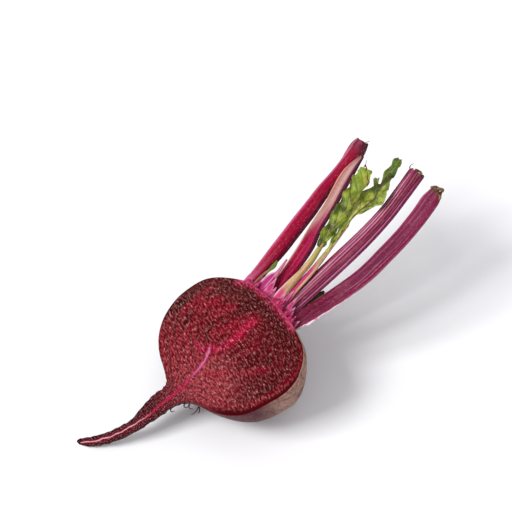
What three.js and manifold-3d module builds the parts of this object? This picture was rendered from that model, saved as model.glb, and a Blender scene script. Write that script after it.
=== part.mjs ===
// Halved beetroot with its leaf stalks trimmed short.
//
// The root was cut in two along its length, through the crown and the taproot. The half lies on
// its rounded back, on a small flat spot, with the tip of its taproot just touching the surface.
// Four thick leaf stalks, two young leaves and a few scraps stand on the crown behind the cut.
//
// The plant is drawn in its own directions: x across the cut face, y along the root from the
// taproot's tip to the crown, z straight out of the cut face, with 0, 0, 0 in the middle of the
// bulb's cut face. One group then turns the plant to the way it rests. Millimetres, +Z up.

import * as THREE from 'three';
import { LoftGeometry } from 'three/addons/geometries/LoftGeometry.js';
import { mergeVertices } from 'three/addons/utils/BufferGeometryUtils.js';
import Module from 'manifold-3d';

const wasm = await Module();
wasm.setup();

// ---- how the half rests ----

const HEADING = 36.7;             // degrees from +X to the root's length, seen from above
const RISE = 23.9;                // degrees by which the crown end is lifted
const ROLL = -4.1;                // degrees of turn about the root's own length
const BULB_CENTRE = [0.3, -4.9, 37.5];  // middle of the bulb's cut face above the resting spot

// ---- the root ----

// Each rib spans the cut face: left edge x, y, right edge x, y, the flesh's depth behind it, and
// how much fuller than an oval the back is between edge and keel, as a share of its radius.
const RIBS = [
  [-20.1, -89.6, -19.5, -90.2, 0.4, 0],
  [-19.4, -87.6, -16.9, -89.6, 1.5, 0],
  [-15.9, -82.9, -12.2, -86.0, 2.1, 0],
  [-13.5, -78.8, -9.1, -81.8, 2.5, 0],
  [-11.2, -74.1, -5.8, -76.3, 2.8, 0],
  [-9.1, -67.9, -3.0, -69.5, 3.1, 0],
  [-7.8, -62.6, -1.1, -63.8, 3.5, 0],
  [-8.9, -54.2, 0.6, -55.0, 4.6, 0],
  [-9.5, -47.8, 1.7, -47.4, 5.5, 0],
  [-8.7, -42.2, 2.9, -41.8, 6.5, 0],
  [-9.3, -38.3, 4.5, -38.0, 8.5, 0],
  [-12.0, -36.5, 7.0, -35.4, 11.5, 0.01],
  [-17.3, -34.3, 12.0, -32.8, 16.0, 0.02],
  [-22.7, -32.4, 17.1, -31.0, 20.5, 0.03],
  [-27.8, -29.8, 22.0, -28.5, 25.0, 0.04],
  [-33.1, -25.7, 27.5, -24.6, 29.5, 0.05],
  [-37.6, -19.8, 32.0, -19.7, 34.0, 0.06],
  [-40.1, -13.7, 34.9, -13.9, 37.4, 0.06],
  [-41.4, -6.6, 37.3, -6.2, 40.2, 0.05],
  [-40.7, 1.5, 39.0, 1.4, 42.0, 0.03],
  [-38.6, 8.6, 38.4, 8.8, 41.8, -0.02],
  [-34.5, 14.1, 35.9, 14.1, 38.0, -0.08],
  [-29.1, 18.6, 32.3, 18.8, 31.6, -0.15],
  [-24.3, 21.8, 27.5, 22.3, 25.4, -0.16],
  [-20.3, 24.0, 22.3, 24.0, 20.4, -0.13],
  [-17.4, 24.9, 18.0, 25.0, 16.6, -0.10],
  [-13.0, 25.6, 14.0, 25.8, 12.4, -0.06],
  [-8.0, 26.4, 9.0, 26.4, 8.0, 0],
  [-2.0, 26.8, 3.0, 26.8, 2.5, 0],
];
const NECK_RIB = 10;              // ribs below this one belong to the taproot
const TAPROOT_STEPS = 3;          // loft steps from rib to rib
const BULB_STEPS = 2;
const SKIN_STEPS = 22;            // steps round the skin from edge to edge
const LUMP = 0.016;               // swelling of the skin, as a share of its radius
const LUMP_WAVES = [[3, 9], [5, -23]];  // lobes round the skin, and radians run along the root
const WRINKLE = 0.06;             // rings round the taproot, as a share of its radius
const WRINKLES = 14;
const RING_DRIFT = 1.3;           // radians by which a ring wanders along the taproot
const NECK_FADE = [0.85, 1.15];   // the rings fade out over this span, in lengths of the taproot
const ROOT_COLOUR = 0x6e1026;
const FLOOR_CUTTER = 400;         // side of the block that trims the resting spot

// ---- stalks ----

const GAP = 0.3;                  // clearance between what grows out and the crown
const STALK_STEPS = 15;
const STALK_SIDES = 28;
const STEM_STEPS = 9;
const STEM_SIDES = 10;
const CHANNEL_WIDTH = 0.55;       // of the channel down a stalk's face, in half widths
const END_HOLLOW = 1.2;           // how far the pith shrinks back from a cut end
const THIN_HOLLOW = 0.2;          // the same on a thin stem
const RAGGED = 0.55;              // height of the tears round a cut end
const TEARS = [[3, 1, 1], [7, 0, 0.7]];  // their waves: number round the rim, phase, share
const THIN_SHAPE = { ribs: 3, ribDepth: 0, channel: 0.2 };

// Rings across a cut end, from the rim to the low knob of pith in its middle: size, share of the
// hollow's depth, share of the tears' height.
const END_RINGS = [
  [0.72, 0.6, 0.4],
  [0.36, 1, 0],
  [0.14, 0.8, 0],
];

// Each point of a stalk: x, y, z, half width, half thickness, and the turn of its face in degrees.
const STALKS = {
  stalk_smooth: {
    colour: 0x9c1444,
    ribs: 3,
    ribDepth: 0.05,
    channel: -0.15,
    points: [
      [-21.6, 20.5, -6.8, 3.0, 2.5, 0],
      [-22.8, 25.7, -6.4, 3.2, 2.7, 0],
      [-23.5, 32.8, -6.0, 3.5, 2.8, 5],
      [-24.8, 45.5, -5.0, 4.1, 2.8, 5],
      [-27.2, 57.8, -5.0, 4.2, 2.8, 5],
      [-29.9, 70.2, -5.6, 4.1, 2.8, 5],
      [-33.1, 82.0, -6.4, 3.7, 2.8, 5],
      [-34.7, 91.7, -7.0, 3.6, 2.8, 5],
      [-35.9, 99.9, -7.2, 3.9, 3.0, 5],
      [-36.9, 105.5, -7.0, 4.6, 3.1, 5],
      [-38.2, 109.8, -6.8, 4.7, 3.1, 0],
      [-39.1, 113.2, -6.8, 3.8, 2.6, 0],
    ],
  },
  stalk_channelled: {
    colour: 0xa02350,
    ribs: 3,
    ribDepth: 0.05,
    channel: 0.6,
    points: [
      [-8.6, 20.5, -9.2, 2.5, 2.2, 0],
      [-10.3, 26.8, -8.8, 2.8, 2.3, 0],
      [-12.0, 33.9, -8.3, 3.1, 2.4, 0],
      [-13.1, 42.5, -7.6, 3.6, 2.5, 0],
      [-14.4, 50.0, -6.9, 4.0, 2.5, 0],
      [-16.2, 57.6, -6.1, 4.0, 2.5, 0],
      [-18.8, 65.0, -5.2, 3.7, 2.4, -5],
      [-20.5, 71.8, -4.2, 3.6, 2.3, -8],
      [-22.0, 79.0, -3.2, 3.6, 2.2, -10],
      [-24.2, 86.0, -2.3, 3.8, 2.1, -12],
      [-26.3, 92.4, -1.6, 3.9, 2.0, -12],
      [-27.8, 98.0, -1.3, 3.5, 1.8, -12],
      [-28.8, 103.0, -1.5, 2.4, 1.5, -12],
      [-29.4, 107.0, -1.9, 1.1, 1.0, -10],
    ],
  },
  stalk_ribbed: {
    colour: 0x8e1640,
    ribs: 7,
    ribDepth: 0.09,
    channel: -0.1,
    points: [
      [2.5, 20.5, -10.6, 3.3, 2.5, 0],
      [1.2, 28.6, -10.3, 3.7, 2.5, 0],
      [1.2, 38.4, -9.7, 4.2, 2.6, 0],
      [1.5, 53.7, -9.0, 4.6, 2.8, 0],
      [1.4, 67.8, -9.0, 4.6, 2.8, 0],
      [1.1, 81.7, -9.0, 4.4, 2.9, 0],
      [-0.1, 94.9, -9.0, 4.2, 2.9, 0],
      [-2.4, 107.2, -9.0, 4.1, 3.0, 0],
      [-5.4, 120.5, -9.0, 4.2, 3.1, 0],
    ],
  },
  stalk_broad: {
    colour: 0x96204c,
    ribs: 5,
    ribDepth: 0.06,
    channel: 0.38,
    points: [
      [9.2, 18.7, -8.0, 2.4, 2.2, 0],
      [10.2, 25.5, -7.4, 2.9, 2.3, -5],
      [11.9, 33.9, -7.0, 4.3, 2.4, -10],
      [15.5, 50.8, -6.8, 4.8, 2.5, -10],
      [17.5, 66.7, -7.0, 4.6, 2.6, -5],
      [17.1, 80.4, -7.0, 4.5, 2.7, 0],
      [16.2, 93.6, -7.0, 4.4, 2.8, 5],
      [14.2, 106.1, -7.0, 4.4, 2.8, 5],
      [12.3, 114.0, -7.0, 4.5, 2.9, 5],
      [11.5, 117.3, -7.0, 4.0, 2.6, 5],
      [10.6, 120.4, -7.0, 3.0, 2.1, 5],
    ],
  },
};

// Scraps on the crown: a torn sheath, a withered sliver and a small dark leaf behind the stalks.
const SCRAPS = {
  sheath_stub: {
    colour: 0xb03a78,
    points: [
      [-12.2, 22.4, -4.4, 3.4, 0.9, 0],
      [-13.3, 27.0, -3.6, 3.8, 0.9, 0],
      [-13.9, 31.0, -3.2, 3.5, 0.8, 5],
      [-14.1, 34.6, -2.9, 2.4, 0.7, 10],
      [-14.1, 37.4, -2.7, 1.1, 0.6, 10],
      [-14.6, 41.0, -2.4, 0.8, 0.5, 10],
      [-15.6, 45.3, -2.2, 0.5, 0.4, 10],
    ],
  },
  withered_sliver: {
    colour: 0x7c8a3a,
    points: [
      [-17.8, 22.0, -2.4, 0.7, 0.5, 0],
      [-18.1, 27.4, -1.7, 0.6, 0.5, 0],
      [-17.8, 32.2, -1.2, 0.6, 0.5, 0],
      [-17.2, 35.8, -1.0, 0.7, 0.5, 10],
      [-17.2, 38.6, -1.0, 1.0, 0.5, 20],
      [-18.0, 41.4, -1.0, 0.5, 0.4, 20],
    ],
  },
  bud_leaf: {
    colour: 0x35431c,
    points: [
      [2.6, 21.5, -14.8, 1.1, 0.8, 0],
      [2.9, 29.0, -14.2, 1.1, 0.8, 0],
      [3.4, 35.0, -14.0, 1.7, 0.7, 10],
      [4.2, 41.5, -13.9, 1.9, 0.7, 20],
      [5.2, 48.0, -13.8, 0.7, 0.5, 20],
    ],
  },
};

// ---- young leaves ----

const BLADE_THICKNESS = 0.7;
const BLADE_ROWS = 26;            // steps along the midrib
const BLADE_COLUMNS = 4;          // steps from the midrib to each margin
const MIDRIB_SINK = 0.35;         // how far the midrib's middle lies below the blade
const MARGIN_POWER = 1.5;         // how the waves grow from the midrib to the margin
const RIGHT_LAG = 2;              // radians by which the right margin's waves run ahead

// The petiole's points are as a stalk's. Each point of the blade: x, y, z of the midrib, then the
// width to the left and to the right. Folds are the degrees by which each side is lifted.
const YOUNG_LEAVES = {
  young_leaf_left: {
    colour: 0x86ab34,
    petiole: [
      [-3.6, 21.5, -5.0, 2.9, 1.0, 0],
      [-4.2, 28.2, -4.5, 3.3, 1.0, 0],
      [-4.9, 34.5, -3.9, 2.6, 1.0, 0],
      [-4.9, 41.0, -3.2, 2.2, 1.1, 0],
      [-5.1, 47.5, -2.5, 1.8, 1.1, 0],
      [-5.7, 54.0, -1.8, 1.6, 1.1, 0],
      [-7.1, 60.5, -1.0, 1.3, 1.0, 0],
      [-9.1, 70.8, 0.5, 0.8, 0.7, 0],
      [-10.0, 79.1, 1.5, 0.6, 0.6, 0],
    ],
    midrib: [
      [-7.3, 60.8, -0.9, 1.2, 1.2],
      [-8.0, 65.2, 0.0, 3.4, 2.2],
      [-9.1, 70.8, 0.8, 3.6, 2.8],
      [-10.0, 79.1, 1.8, 5.2, 2.0],
      [-10.6, 86.8, 2.4, 6.4, 1.0],
      [-12.3, 94.4, 2.9, 7.0, 0.8],
      [-14.6, 100.4, 3.0, 6.2, 1.2],
      [-17.6, 104.2, 3.2, 4.4, 1.0],
    ],
    foldLeft: 16,
    foldRight: -28,
    sweepLeft: 0.25,
    sweepRight: 0.25,
    waveHeight: 0.8,
    waves: 5.5,
    wavePhase: 0.4,
  },
  young_leaf_right: {
    colour: 0x7a9f3a,
    petiole: [
      [2.0, 21.5, -6.5, 1.7, 1.0, 0],
      [-0.1, 29.5, -5.7, 1.7, 1.0, 0],
      [-1.7, 39.0, -4.9, 1.8, 1.0, 0],
      [-2.1, 48.5, -4.0, 1.7, 1.1, 0],
      [-2.9, 56.7, -3.1, 1.4, 1.1, 0],
      [-3.9, 64.4, -2.4, 1.1, 0.9, 0],
      [-5.2, 71.5, -2.2, 0.9, 0.8, 0],
      [-6.6, 78.7, -1.9, 0.7, 0.7, 0],
    ],
    midrib: [
      [-3.4, 60.8, -2.4, 1.1, 0.8],
      [-4.0, 65.0, -2.2, 1.9, 0.7],
      [-5.0, 70.7, -1.9, 3.2, 0.7],
      [-6.4, 77.7, -1.6, 6.0, 0.6],
      [-7.1, 85.4, -1.2, 9.2, 0.8],
      [-6.1, 92.0, -0.7, 9.8, 4.0],
      [-5.9, 96.6, -0.2, 8.4, 4.8],
      [-7.7, 101.5, 0.3, 1.8, 3.8],
      [-9.4, 107.4, 0.6, 3.0, 2.6],
      [-10.5, 113.0, 0.8, 2.9, 2.5],
      [-11.8, 117.6, 1.0, 1.8, 1.6],
    ],
    foldLeft: -17,
    foldRight: -8,
    sweepLeft: 1.1,
    sweepRight: 0.7,
    waveHeight: 0.9,
    waves: 7.5,
    wavePhase: 1.9,
  },
};

// ---- solids from closed meshes ----

const MERGE_DISTANCE = 1e-4;

function toSolid(geometry) {
  const bare = new THREE.BufferGeometry().copy(geometry);
  bare.deleteAttribute('normal');
  bare.deleteAttribute('uv');
  const merged = mergeVertices(bare, MERGE_DISTANCE);
  return new wasm.Manifold(new wasm.Mesh({
    numProp: 3,
    vertProperties: new Float32Array(merged.attributes.position.array),
    triVerts: new Uint32Array(merged.index.array),
  }));
}

function toGeometry(solid) {
  const { vertProperties, triVerts } = solid.getMesh();
  const geometry = new THREE.BufferGeometry();
  geometry.setAttribute('position', new THREE.BufferAttribute(vertProperties, 3));
  geometry.setIndex(new THREE.BufferAttribute(triVerts, 1));
  geometry.computeVertexNormals();
  return geometry;
}

function closedLoft(sections) {
  return new LoftGeometry(sections, { closed: true, capStart: true, capEnd: true });
}

// A smooth run through a column of a table, read at 0 to 1 along the table.
function runThrough(rows, column) {
  const curve = new THREE.SplineCurve(rows.map((row) => new THREE.Vector2(0, row[column])));
  return (t) => curve.getPoint(t).y;
}

// ---- the resting pose ----

function restingPose() {
  const turn = new THREE.Matrix4().makeRotationZ(THREE.MathUtils.degToRad(HEADING - 90));
  turn.multiply(new THREE.Matrix4().makeRotationX(THREE.MathUtils.degToRad(RISE)));
  turn.multiply(new THREE.Matrix4().makeRotationY(THREE.MathUtils.degToRad(ROLL)));
  return turn.setPosition(...BULB_CENTRE);
}

// ---- the root ----

// The rib positions, 0 to 1, at which the root's outline is read.
function ribStations() {
  const last = RIBS.length - 1;
  const stations = [];
  for (let rib = 0; rib < last; rib += 1) {
    const steps = rib < NECK_RIB ? TAPROOT_STEPS : BULB_STEPS;
    for (let step = 0; step < steps; step += 1) {
      stations.push((rib + step / steps) / last);
    }
  }
  stations.push(1);
  return stations;
}

// Rings on the taproot and slow swellings on the bulb, as a factor on the skin's radius.
function skinRelief(t, angle, fullness) {
  const along = t * (RIBS.length - 1) / NECK_RIB;
  const onTaproot = 1 - THREE.MathUtils.smoothstep(along, ...NECK_FADE);
  const rings = Math.sin(2 * Math.PI * WRINKLES * along + RING_DRIFT * Math.sin(2 * angle));
  const swell = LUMP_WAVES.reduce((sum, [lobes, run]) => sum + Math.sin(lobes * angle + run * t), 0);
  const oval = 1 + fullness * Math.sin(2 * angle) ** 2;
  return oval + WRINKLE * onTaproot * rings + LUMP * swell * Math.sin(angle) * (1 - onTaproot);
}

// Half an oval behind the cut face: from the right edge, under the back, to the left edge.
function rootSections(grow) {
  const columns = [0, 1, 2, 3, 4, 5].map((column) => runThrough(RIBS, column));
  const [leftX, leftY, rightX, rightY, depth, fullness] = columns;
  return ribStations().map((t) => {
    const left = new THREE.Vector3(leftX(t), leftY(t), 0);
    const right = new THREE.Vector3(rightX(t), rightY(t), 0);
    const middle = left.clone().add(right).multiplyScalar(0.5);
    const reach = right.clone().sub(middle);
    reach.setLength(reach.length() + grow);
    const points = [];
    for (let step = 0; step <= SKIN_STEPS; step += 1) {
      const angle = Math.PI * step / SKIN_STEPS;
      const relief = skinRelief(t, angle, fullness(t));
      const point = middle.clone().addScaledVector(reach, Math.cos(angle) * relief);
      points.push(point.setZ(-(depth(t) + grow) * Math.sin(angle) * relief));
    }
    return points;
  });
}

function rootSolid(grow) {
  return toSolid(closedLoft(rootSections(grow)));
}

// Everything below the surface that the beetroot lies on, in the plant's own directions.
function floorSolid(pose) {
  const block = new THREE.BoxGeometry(FLOOR_CUTTER, FLOOR_CUTTER, FLOOR_CUTTER);
  block.translate(0, 0, -FLOOR_CUTTER / 2);
  return toSolid(block.applyMatrix4(pose.clone().invert()));
}

// ---- stalks and stems ----

// The middle, the directions and the size of a stalk at t, 0 at the crown and 1 at its end.
function stalkFrame(points, t) {
  const [x, y, z, width, thickness, turn] = [0, 1, 2, 3, 4, 5].map((c) => runThrough(points, c));
  const path = new THREE.CatmullRomCurve3(
    points.map((row) => new THREE.Vector3(row[0], row[1], row[2])), false, 'catmullrom', 0.5);
  const middle = new THREE.Vector3(x(t), y(t), z(t));
  const along = path.getTangent(t);
  const facing = new THREE.Vector3(0, 0, 1).applyAxisAngle(along, THREE.MathUtils.degToRad(turn(t)));
  const across = along.clone().cross(facing).normalize();
  const out = across.clone().cross(along).normalize();
  return { middle, along, across, out, width: width(t), thickness: thickness(t) };
}

// Ribs on the skin of a stalk and a channel or a swelling down its face, in half sizes.
function stalkOutline(angle, shape) {
  const rib = 1 + shape.ribDepth * Math.cos(2 * shape.ribs * angle);
  const across = Math.cos(angle) * rib;
  const onFace = Math.max(0, Math.sin(angle));
  const dent = shape.channel * onFace * Math.exp(-((across / CHANNEL_WIDTH) ** 2));
  return [across, Math.sin(angle) * rib - dent];
}

function stalkSection(frame, shape, sides, scale, setBack, ragged) {
  const points = [];
  for (let side = 0; side < sides; side += 1) {
    const angle = -2 * Math.PI * side / sides;
    const [across, out] = stalkOutline(angle, shape);
    const tear = TEARS.reduce(
      (sum, [waves, phase, share]) => sum + share * Math.sin(waves * angle + phase), 0);
    points.push(frame.middle.clone()
      .addScaledVector(frame.across, across * frame.width * scale)
      .addScaledVector(frame.out, out * frame.thickness * scale)
      .addScaledVector(frame.along, ragged * tear - setBack));
  }
  return points;
}

// A stalk from its points. Its end is torn round the rim and hollow where the pith shrank, with
// a low knob of pith in the middle.
function stalkGeometry(points, shape, steps, sides, hollow, ragged) {
  const sections = [];
  for (let step = 0; step <= steps; step += 1) {
    const t = step / steps;
    const tear = step === steps ? ragged : 0;
    sections.push(stalkSection(stalkFrame(points, t), shape, sides, 1, 0, tear));
  }
  const end = stalkFrame(points, 1);
  END_RINGS.forEach(([scale, deep, torn]) => {
    sections.push(stalkSection(end, shape, sides, scale, hollow * deep, ragged * torn));
  });
  return closedLoft(sections);
}

function thickStalk(stalk) {
  return toSolid(stalkGeometry(
    stalk.points, stalk, STALK_STEPS, STALK_SIDES, END_HOLLOW, RAGGED));
}

function thinStem(points) {
  return toSolid(stalkGeometry(
    points, THIN_SHAPE, STEM_STEPS, STEM_SIDES, THIN_HOLLOW, 0));
}

// ---- leaf blades ----

// A point of the blade: side runs from -1 at the left margin over 0 at the midrib to 1, t from
// the petiole to the tip. Each side is lifted by its fold, drawn forward as side veins are, and
// waved more and more towards its margin. The midrib is read as a stalk that has no turn, so
// its width is the blade's width to the left, and its thickness the width to the right.
function bladePoint(leaf, side, t) {
  const frame = stalkFrame(leaf.midrib.map((row) => [...row, 0]), t);
  const left = side < 0;
  const fold = THREE.MathUtils.degToRad(left ? leaf.foldLeft : leaf.foldRight);
  const reach = Math.abs(side) * (left ? frame.width : frame.thickness);
  const spread = frame.across.clone().multiplyScalar(left ? -Math.cos(fold) : Math.cos(fold));
  spread.addScaledVector(frame.out, Math.sin(fold));
  const beat = 2 * Math.PI * leaf.waves * t + leaf.wavePhase + (left ? 0 : RIGHT_LAG);
  const wave = leaf.waveHeight * Math.abs(side) ** MARGIN_POWER * Math.sin(beat);
  return frame.middle.clone()
    .addScaledVector(spread, reach)
    .addScaledVector(frame.along, reach * (left ? leaf.sweepLeft : leaf.sweepRight))
    .addScaledVector(frame.out, wave);
}

// Both faces of the blade, each half a thickness from the middle sheet along its normal.
function bladeFaces(leaf) {
  const columns = 2 * BLADE_COLUMNS;
  const nudge = 1e-3;
  const faces = [[], []];
  for (let row = 0; row <= BLADE_ROWS; row += 1) {
    for (let column = 0; column <= columns; column += 1) {
      const t = row / BLADE_ROWS;
      const side = column / BLADE_COLUMNS - 1;
      const point = bladePoint(leaf, side, t);
      const ahead = bladePoint(leaf, side, Math.min(1, t + nudge));
      const behind = bladePoint(leaf, side, Math.max(0, t - nudge));
      const right = bladePoint(leaf, Math.min(1, side + nudge), t);
      const nearer = bladePoint(leaf, Math.max(-1, side - nudge), t);
      const normal = right.sub(nearer).cross(ahead.sub(behind)).normalize();
      faces[0].push(point.clone().addScaledVector(normal, BLADE_THICKNESS / 2));
      faces[1].push(point.clone().addScaledVector(normal, -BLADE_THICKNESS / 2));
    }
  }
  return faces;
}

// The blade as one closed sheet: both faces are split into triangles alike, and a rim joins them.
function bladeGeometry(leaf) {
  const [upper, lower] = bladeFaces(leaf);
  const across = 2 * BLADE_COLUMNS + 1;
  const below = upper.length;
  const triangles = [];
  for (let row = 0; row < BLADE_ROWS; row += 1) {
    for (let column = 0; column < across - 1; column += 1) {
      const a = row * across + column;
      const [b, c, d] = [a + 1, a + across + 1, a + across];
      triangles.push(a, b, c, a, c, d);
      triangles.push(a + below, c + below, b + below, a + below, d + below, c + below);
    }
  }
  const rim = [];
  for (let column = 0; column < across - 1; column += 1) {
    rim.push(column);
  }
  for (let row = 0; row < BLADE_ROWS; row += 1) {
    rim.push(row * across + across - 1);
  }
  for (let column = across - 1; column > 0; column -= 1) {
    rim.push(BLADE_ROWS * across + column);
  }
  for (let row = BLADE_ROWS; row > 0; row -= 1) {
    rim.push(row * across);
  }
  rim.forEach((here, place) => {
    const next = rim[(place + 1) % rim.length];
    triangles.push(here, here + below, next + below, here, next + below, next);
  });
  const geometry = new THREE.BufferGeometry().setFromPoints([...upper, ...lower]);
  geometry.setIndex(triangles);
  return geometry;
}

// A young leaf grew as one piece: its petiole runs on under the blade as the midrib.
function youngLeafSolid(leaf) {
  const stem = leaf.petiole.map((row) => [row[0], row[1], row[2] - MIDRIB_SINK, ...row.slice(3)]);
  return thinStem(stem).add(toSolid(bladeGeometry(leaf)));
}

// ---- the beetroot ----

function piece(name, solid, colour, roughness) {
  const material = new THREE.MeshStandardMaterial({ color: colour, roughness, metalness: 0 });
  const mesh = new THREE.Mesh(toGeometry(solid), material);
  mesh.name = name;
  return mesh;
}

function beetroot() {
  const pose = restingPose();
  const crown = rootSolid(GAP);
  const plant = new THREE.Group();
  plant.applyMatrix4(pose);
  plant.add(piece('root', rootSolid(0).subtract(floorSolid(pose)), ROOT_COLOUR, 0.45));
  Object.entries(STALKS).forEach(([name, stalk]) => {
    plant.add(piece(name, thickStalk(stalk).subtract(crown), stalk.colour, 0.4));
  });
  Object.entries(YOUNG_LEAVES).forEach(([name, leaf]) => {
    plant.add(piece(name, youngLeafSolid(leaf).subtract(crown), leaf.colour, 0.45));
  });
  Object.entries(SCRAPS).forEach(([name, scrap]) => {
    plant.add(piece(name, thinStem(scrap.points).subtract(crown), scrap.colour, 0.6));
  });
  const model = new THREE.Group();
  model.add(plant);
  return model;
}

export default beetroot();
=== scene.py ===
# %% [markdown]
# # A halved beetroot
#
# A beetroot cut in two along its length lies on its rounded back. Its cut face looks up, its
# long taproot touches the table, and short stalks and two young leaves stand on its crown.
#
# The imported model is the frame: it gives every piece its size and its place. This notebook
# grows the same forms again on much finer grids, and gives each one its real surface.

import bpy
import mathutils
import numpy as np
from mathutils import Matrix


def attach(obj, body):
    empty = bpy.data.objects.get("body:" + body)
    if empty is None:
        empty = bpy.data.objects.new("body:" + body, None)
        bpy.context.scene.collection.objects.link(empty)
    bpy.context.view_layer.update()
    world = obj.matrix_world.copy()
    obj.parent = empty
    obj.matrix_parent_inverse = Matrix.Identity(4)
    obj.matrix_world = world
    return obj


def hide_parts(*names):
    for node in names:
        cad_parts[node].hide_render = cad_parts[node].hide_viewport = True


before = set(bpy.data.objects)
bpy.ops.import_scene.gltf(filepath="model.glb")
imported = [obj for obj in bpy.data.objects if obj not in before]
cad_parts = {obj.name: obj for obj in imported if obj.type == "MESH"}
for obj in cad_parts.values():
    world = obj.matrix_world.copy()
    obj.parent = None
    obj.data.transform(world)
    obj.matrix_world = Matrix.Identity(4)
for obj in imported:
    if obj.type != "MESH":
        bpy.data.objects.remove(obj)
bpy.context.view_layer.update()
print("frame nodes:", sorted(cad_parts))

# %% [markdown]
# ## Directions and units
#
# A beetroot is easiest to describe lying straight: x across its cut face, y from the taproot to
# the crown, z out of the cut face, in millimetres. One turn then lays it down the way it rests,
# with the crown lifted, and the result goes to Blender in metres.

# %% From the plant's millimetres to the table's metres
MM = 0.001
HEADING = 36.7                               # degrees from +X to the root's length
RISE = 23.9                                  # degrees by which the crown is lifted
ROLL = -4.1                                  # degrees of turn about the root's own length
BULB_CENTRE = np.array([0.3, -4.9, 37.5])    # middle of the cut face, above the resting spot


def turn_about(axis, degrees):
    """The rotation matrix about axis 0, 1 or 2: cosines on the diagonal, sines beside them."""
    cosine, sine = np.cos(np.radians(degrees)), np.sin(np.radians(degrees))
    first, second = (axis + 1) % 3, (axis + 2) % 3
    matrix = np.eye(3)
    matrix[first, first] = matrix[second, second] = cosine
    matrix[first, second], matrix[second, first] = -sine, sine
    return matrix


LAID_DOWN = turn_about(2, HEADING - 90) @ turn_about(0, RISE) @ turn_about(1, ROLL)


def to_table(points):
    """Turns points of the plant, adds the bulb's centre, and scales millimetres to metres."""
    return (points @ LAID_DOWN.T + BULB_CENTRE) * MM


print("the cut face looks towards", np.round(LAID_DOWN @ [0, 0, 1], 2))

# %% [markdown]
# ## Helpers for shapes
#
# Every living form here is a smooth run through a few measured rows, so one helper reads such a
# table at any place. A second one makes smooth noise, for all that is not regular. A third turns
# rings of points into a closed skin, because stalks, roots and hairs are all tubes.

# %% A smooth run through a table
def run(rows, t):
    """Reads a table at t from 0 to 1. Between two rows it is the cubic that passes through both
    and leaves each one in the direction from its neighbour before to its neighbour after."""
    rows = np.asarray(rows, float)
    last = len(rows) - 1
    place = np.clip(t, 0, 1) * last
    row = np.minimum(place.astype(int), last - 1)
    w = (place - row)[..., None]
    before, here = rows[np.maximum(row - 1, 0)], rows[row]
    after, beyond = rows[row + 1], rows[np.minimum(row + 2, last)]
    leave, arrive = (after - before) / 2, (beyond - here) / 2
    cubic = 2 * here - 2 * after + leave + arrive
    square = -3 * here + 3 * after - 2 * leave - arrive
    return cubic * w**3 + square * w**2 + leave * w + here


def unit(vectors):
    """Each vector divided by its own length."""
    return vectors / np.maximum(np.linalg.norm(vectors, axis=-1, keepdims=True), 1e-9)


def smooth_step(low, high, value):
    """0 below low, 1 above high, and 3w^2 - 2w^3 between them. If low is the greater one, it falls
    from 1 below high to 0 above low."""
    w = np.clip((value - low) / (high - low), 0, 1)
    return w * w * (3 - 2 * w)


print("halfway through 0, 1, 4:", run([[0], [1], [4]], np.array([0.5])))

# %% Smooth noise
LATTICE = np.random.default_rng(7).uniform(-1, 1, 4096)
PRIMES = np.array([73856093, 19349663, 83492791])


def noise(points, seed=0):
    """Smooth random numbers from -1 to 1: every corner of a unit lattice has its own number, and
    a point blends the eight corners round it by smooth weights."""
    points = np.asarray(points, float) + 17.3 * seed + 1000
    cell = np.floor(points).astype(np.int64)
    near = smooth_step(0, 1, points - cell)
    total = 0
    for corner in np.ndindex(2, 2, 2):
        key = np.bitwise_xor.reduce((cell + corner) * PRIMES, axis=-1) % len(LATTICE)
        total = total + LATTICE[key] * np.prod(np.where(corner, near, 1 - near), axis=-1)
    return total


def rough_noise(points, seed=0):
    """Three layers of noise, each twice as fine and half as strong as the one before."""
    return sum(noise(np.asarray(points) * 2**k, seed + k) / 2**k for k in range(3)) / 1.75


print("noise at three points:", np.round(noise([[0.1, 0, 0], [0.5, 0, 0], [0.9, 0, 0]]), 2))

# %% Closed skins
def ring_faces(rings, around):
    """Quads between each ring and the next, then a fan of triangles to a middle point at each
    end. The two middle points follow the ring points."""
    here = np.arange(rings * around).reshape(rings, around)
    right = np.roll(here, -1, axis=1)
    quads = np.stack([here[:-1], right[:-1], right[1:], here[1:]], -1).reshape(-1, 4)
    first, last = rings * around, rings * around + 1
    start = np.stack([np.full(around, first), right[0], here[0]], -1)
    end = np.stack([np.full(around, last), here[-1], right[-1]], -1)
    return quads, np.concatenate([start, end])


def signed_volume(points, quads, triangles):
    """A sixth of the sum of the triple products of every triangle's corners."""
    halves = np.concatenate([quads[:, [0, 1, 2]], quads[:, [0, 2, 3]], triangles])
    a, b, c = points[halves[:, 0]], points[halves[:, 1]], points[halves[:, 2]]
    return float(np.einsum("ij,ij->", a, np.cross(b, c)) / 6)


def body(name, points, quads, triangles=None):
    """An object from points in the plant's millimetres, with its faces turned outwards. Points
    below the table's height of 0 are lifted to it: that is the flat spot it rests on."""
    triangles = np.zeros((0, 3), int) if triangles is None else triangles
    if signed_volume(points, quads, triangles) < 0:
        quads, triangles = quads[:, ::-1], triangles[:, ::-1]
    mesh = bpy.data.meshes.new(name)
    placed = to_table(points)
    placed[:, 2] = np.maximum(placed[:, 2], 0)
    mesh.from_pydata(placed.tolist(), [], quads.tolist() + triangles.tolist())
    mesh.polygons.foreach_set("use_smooth", np.ones(len(mesh.polygons), bool))
    mesh.update()
    piece = bpy.data.objects.new(name, mesh)
    bpy.context.scene.collection.objects.link(piece)
    return piece


def note(piece, name, values, kind="FLOAT"):
    """Stores a number, a direction or a colour on every point, for the material to read."""
    field = {"FLOAT": "value", "FLOAT_VECTOR": "vector", "FLOAT_COLOR": "color"}[kind]
    if kind == "FLOAT_COLOR":
        values = np.concatenate([values, np.ones((len(values), 1))], 1)
    attribute = piece.data.attributes.new(name, kind, "POINT")
    attribute.data.foreach_set(field, np.ascontiguousarray(values, np.float32).ravel())


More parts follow.
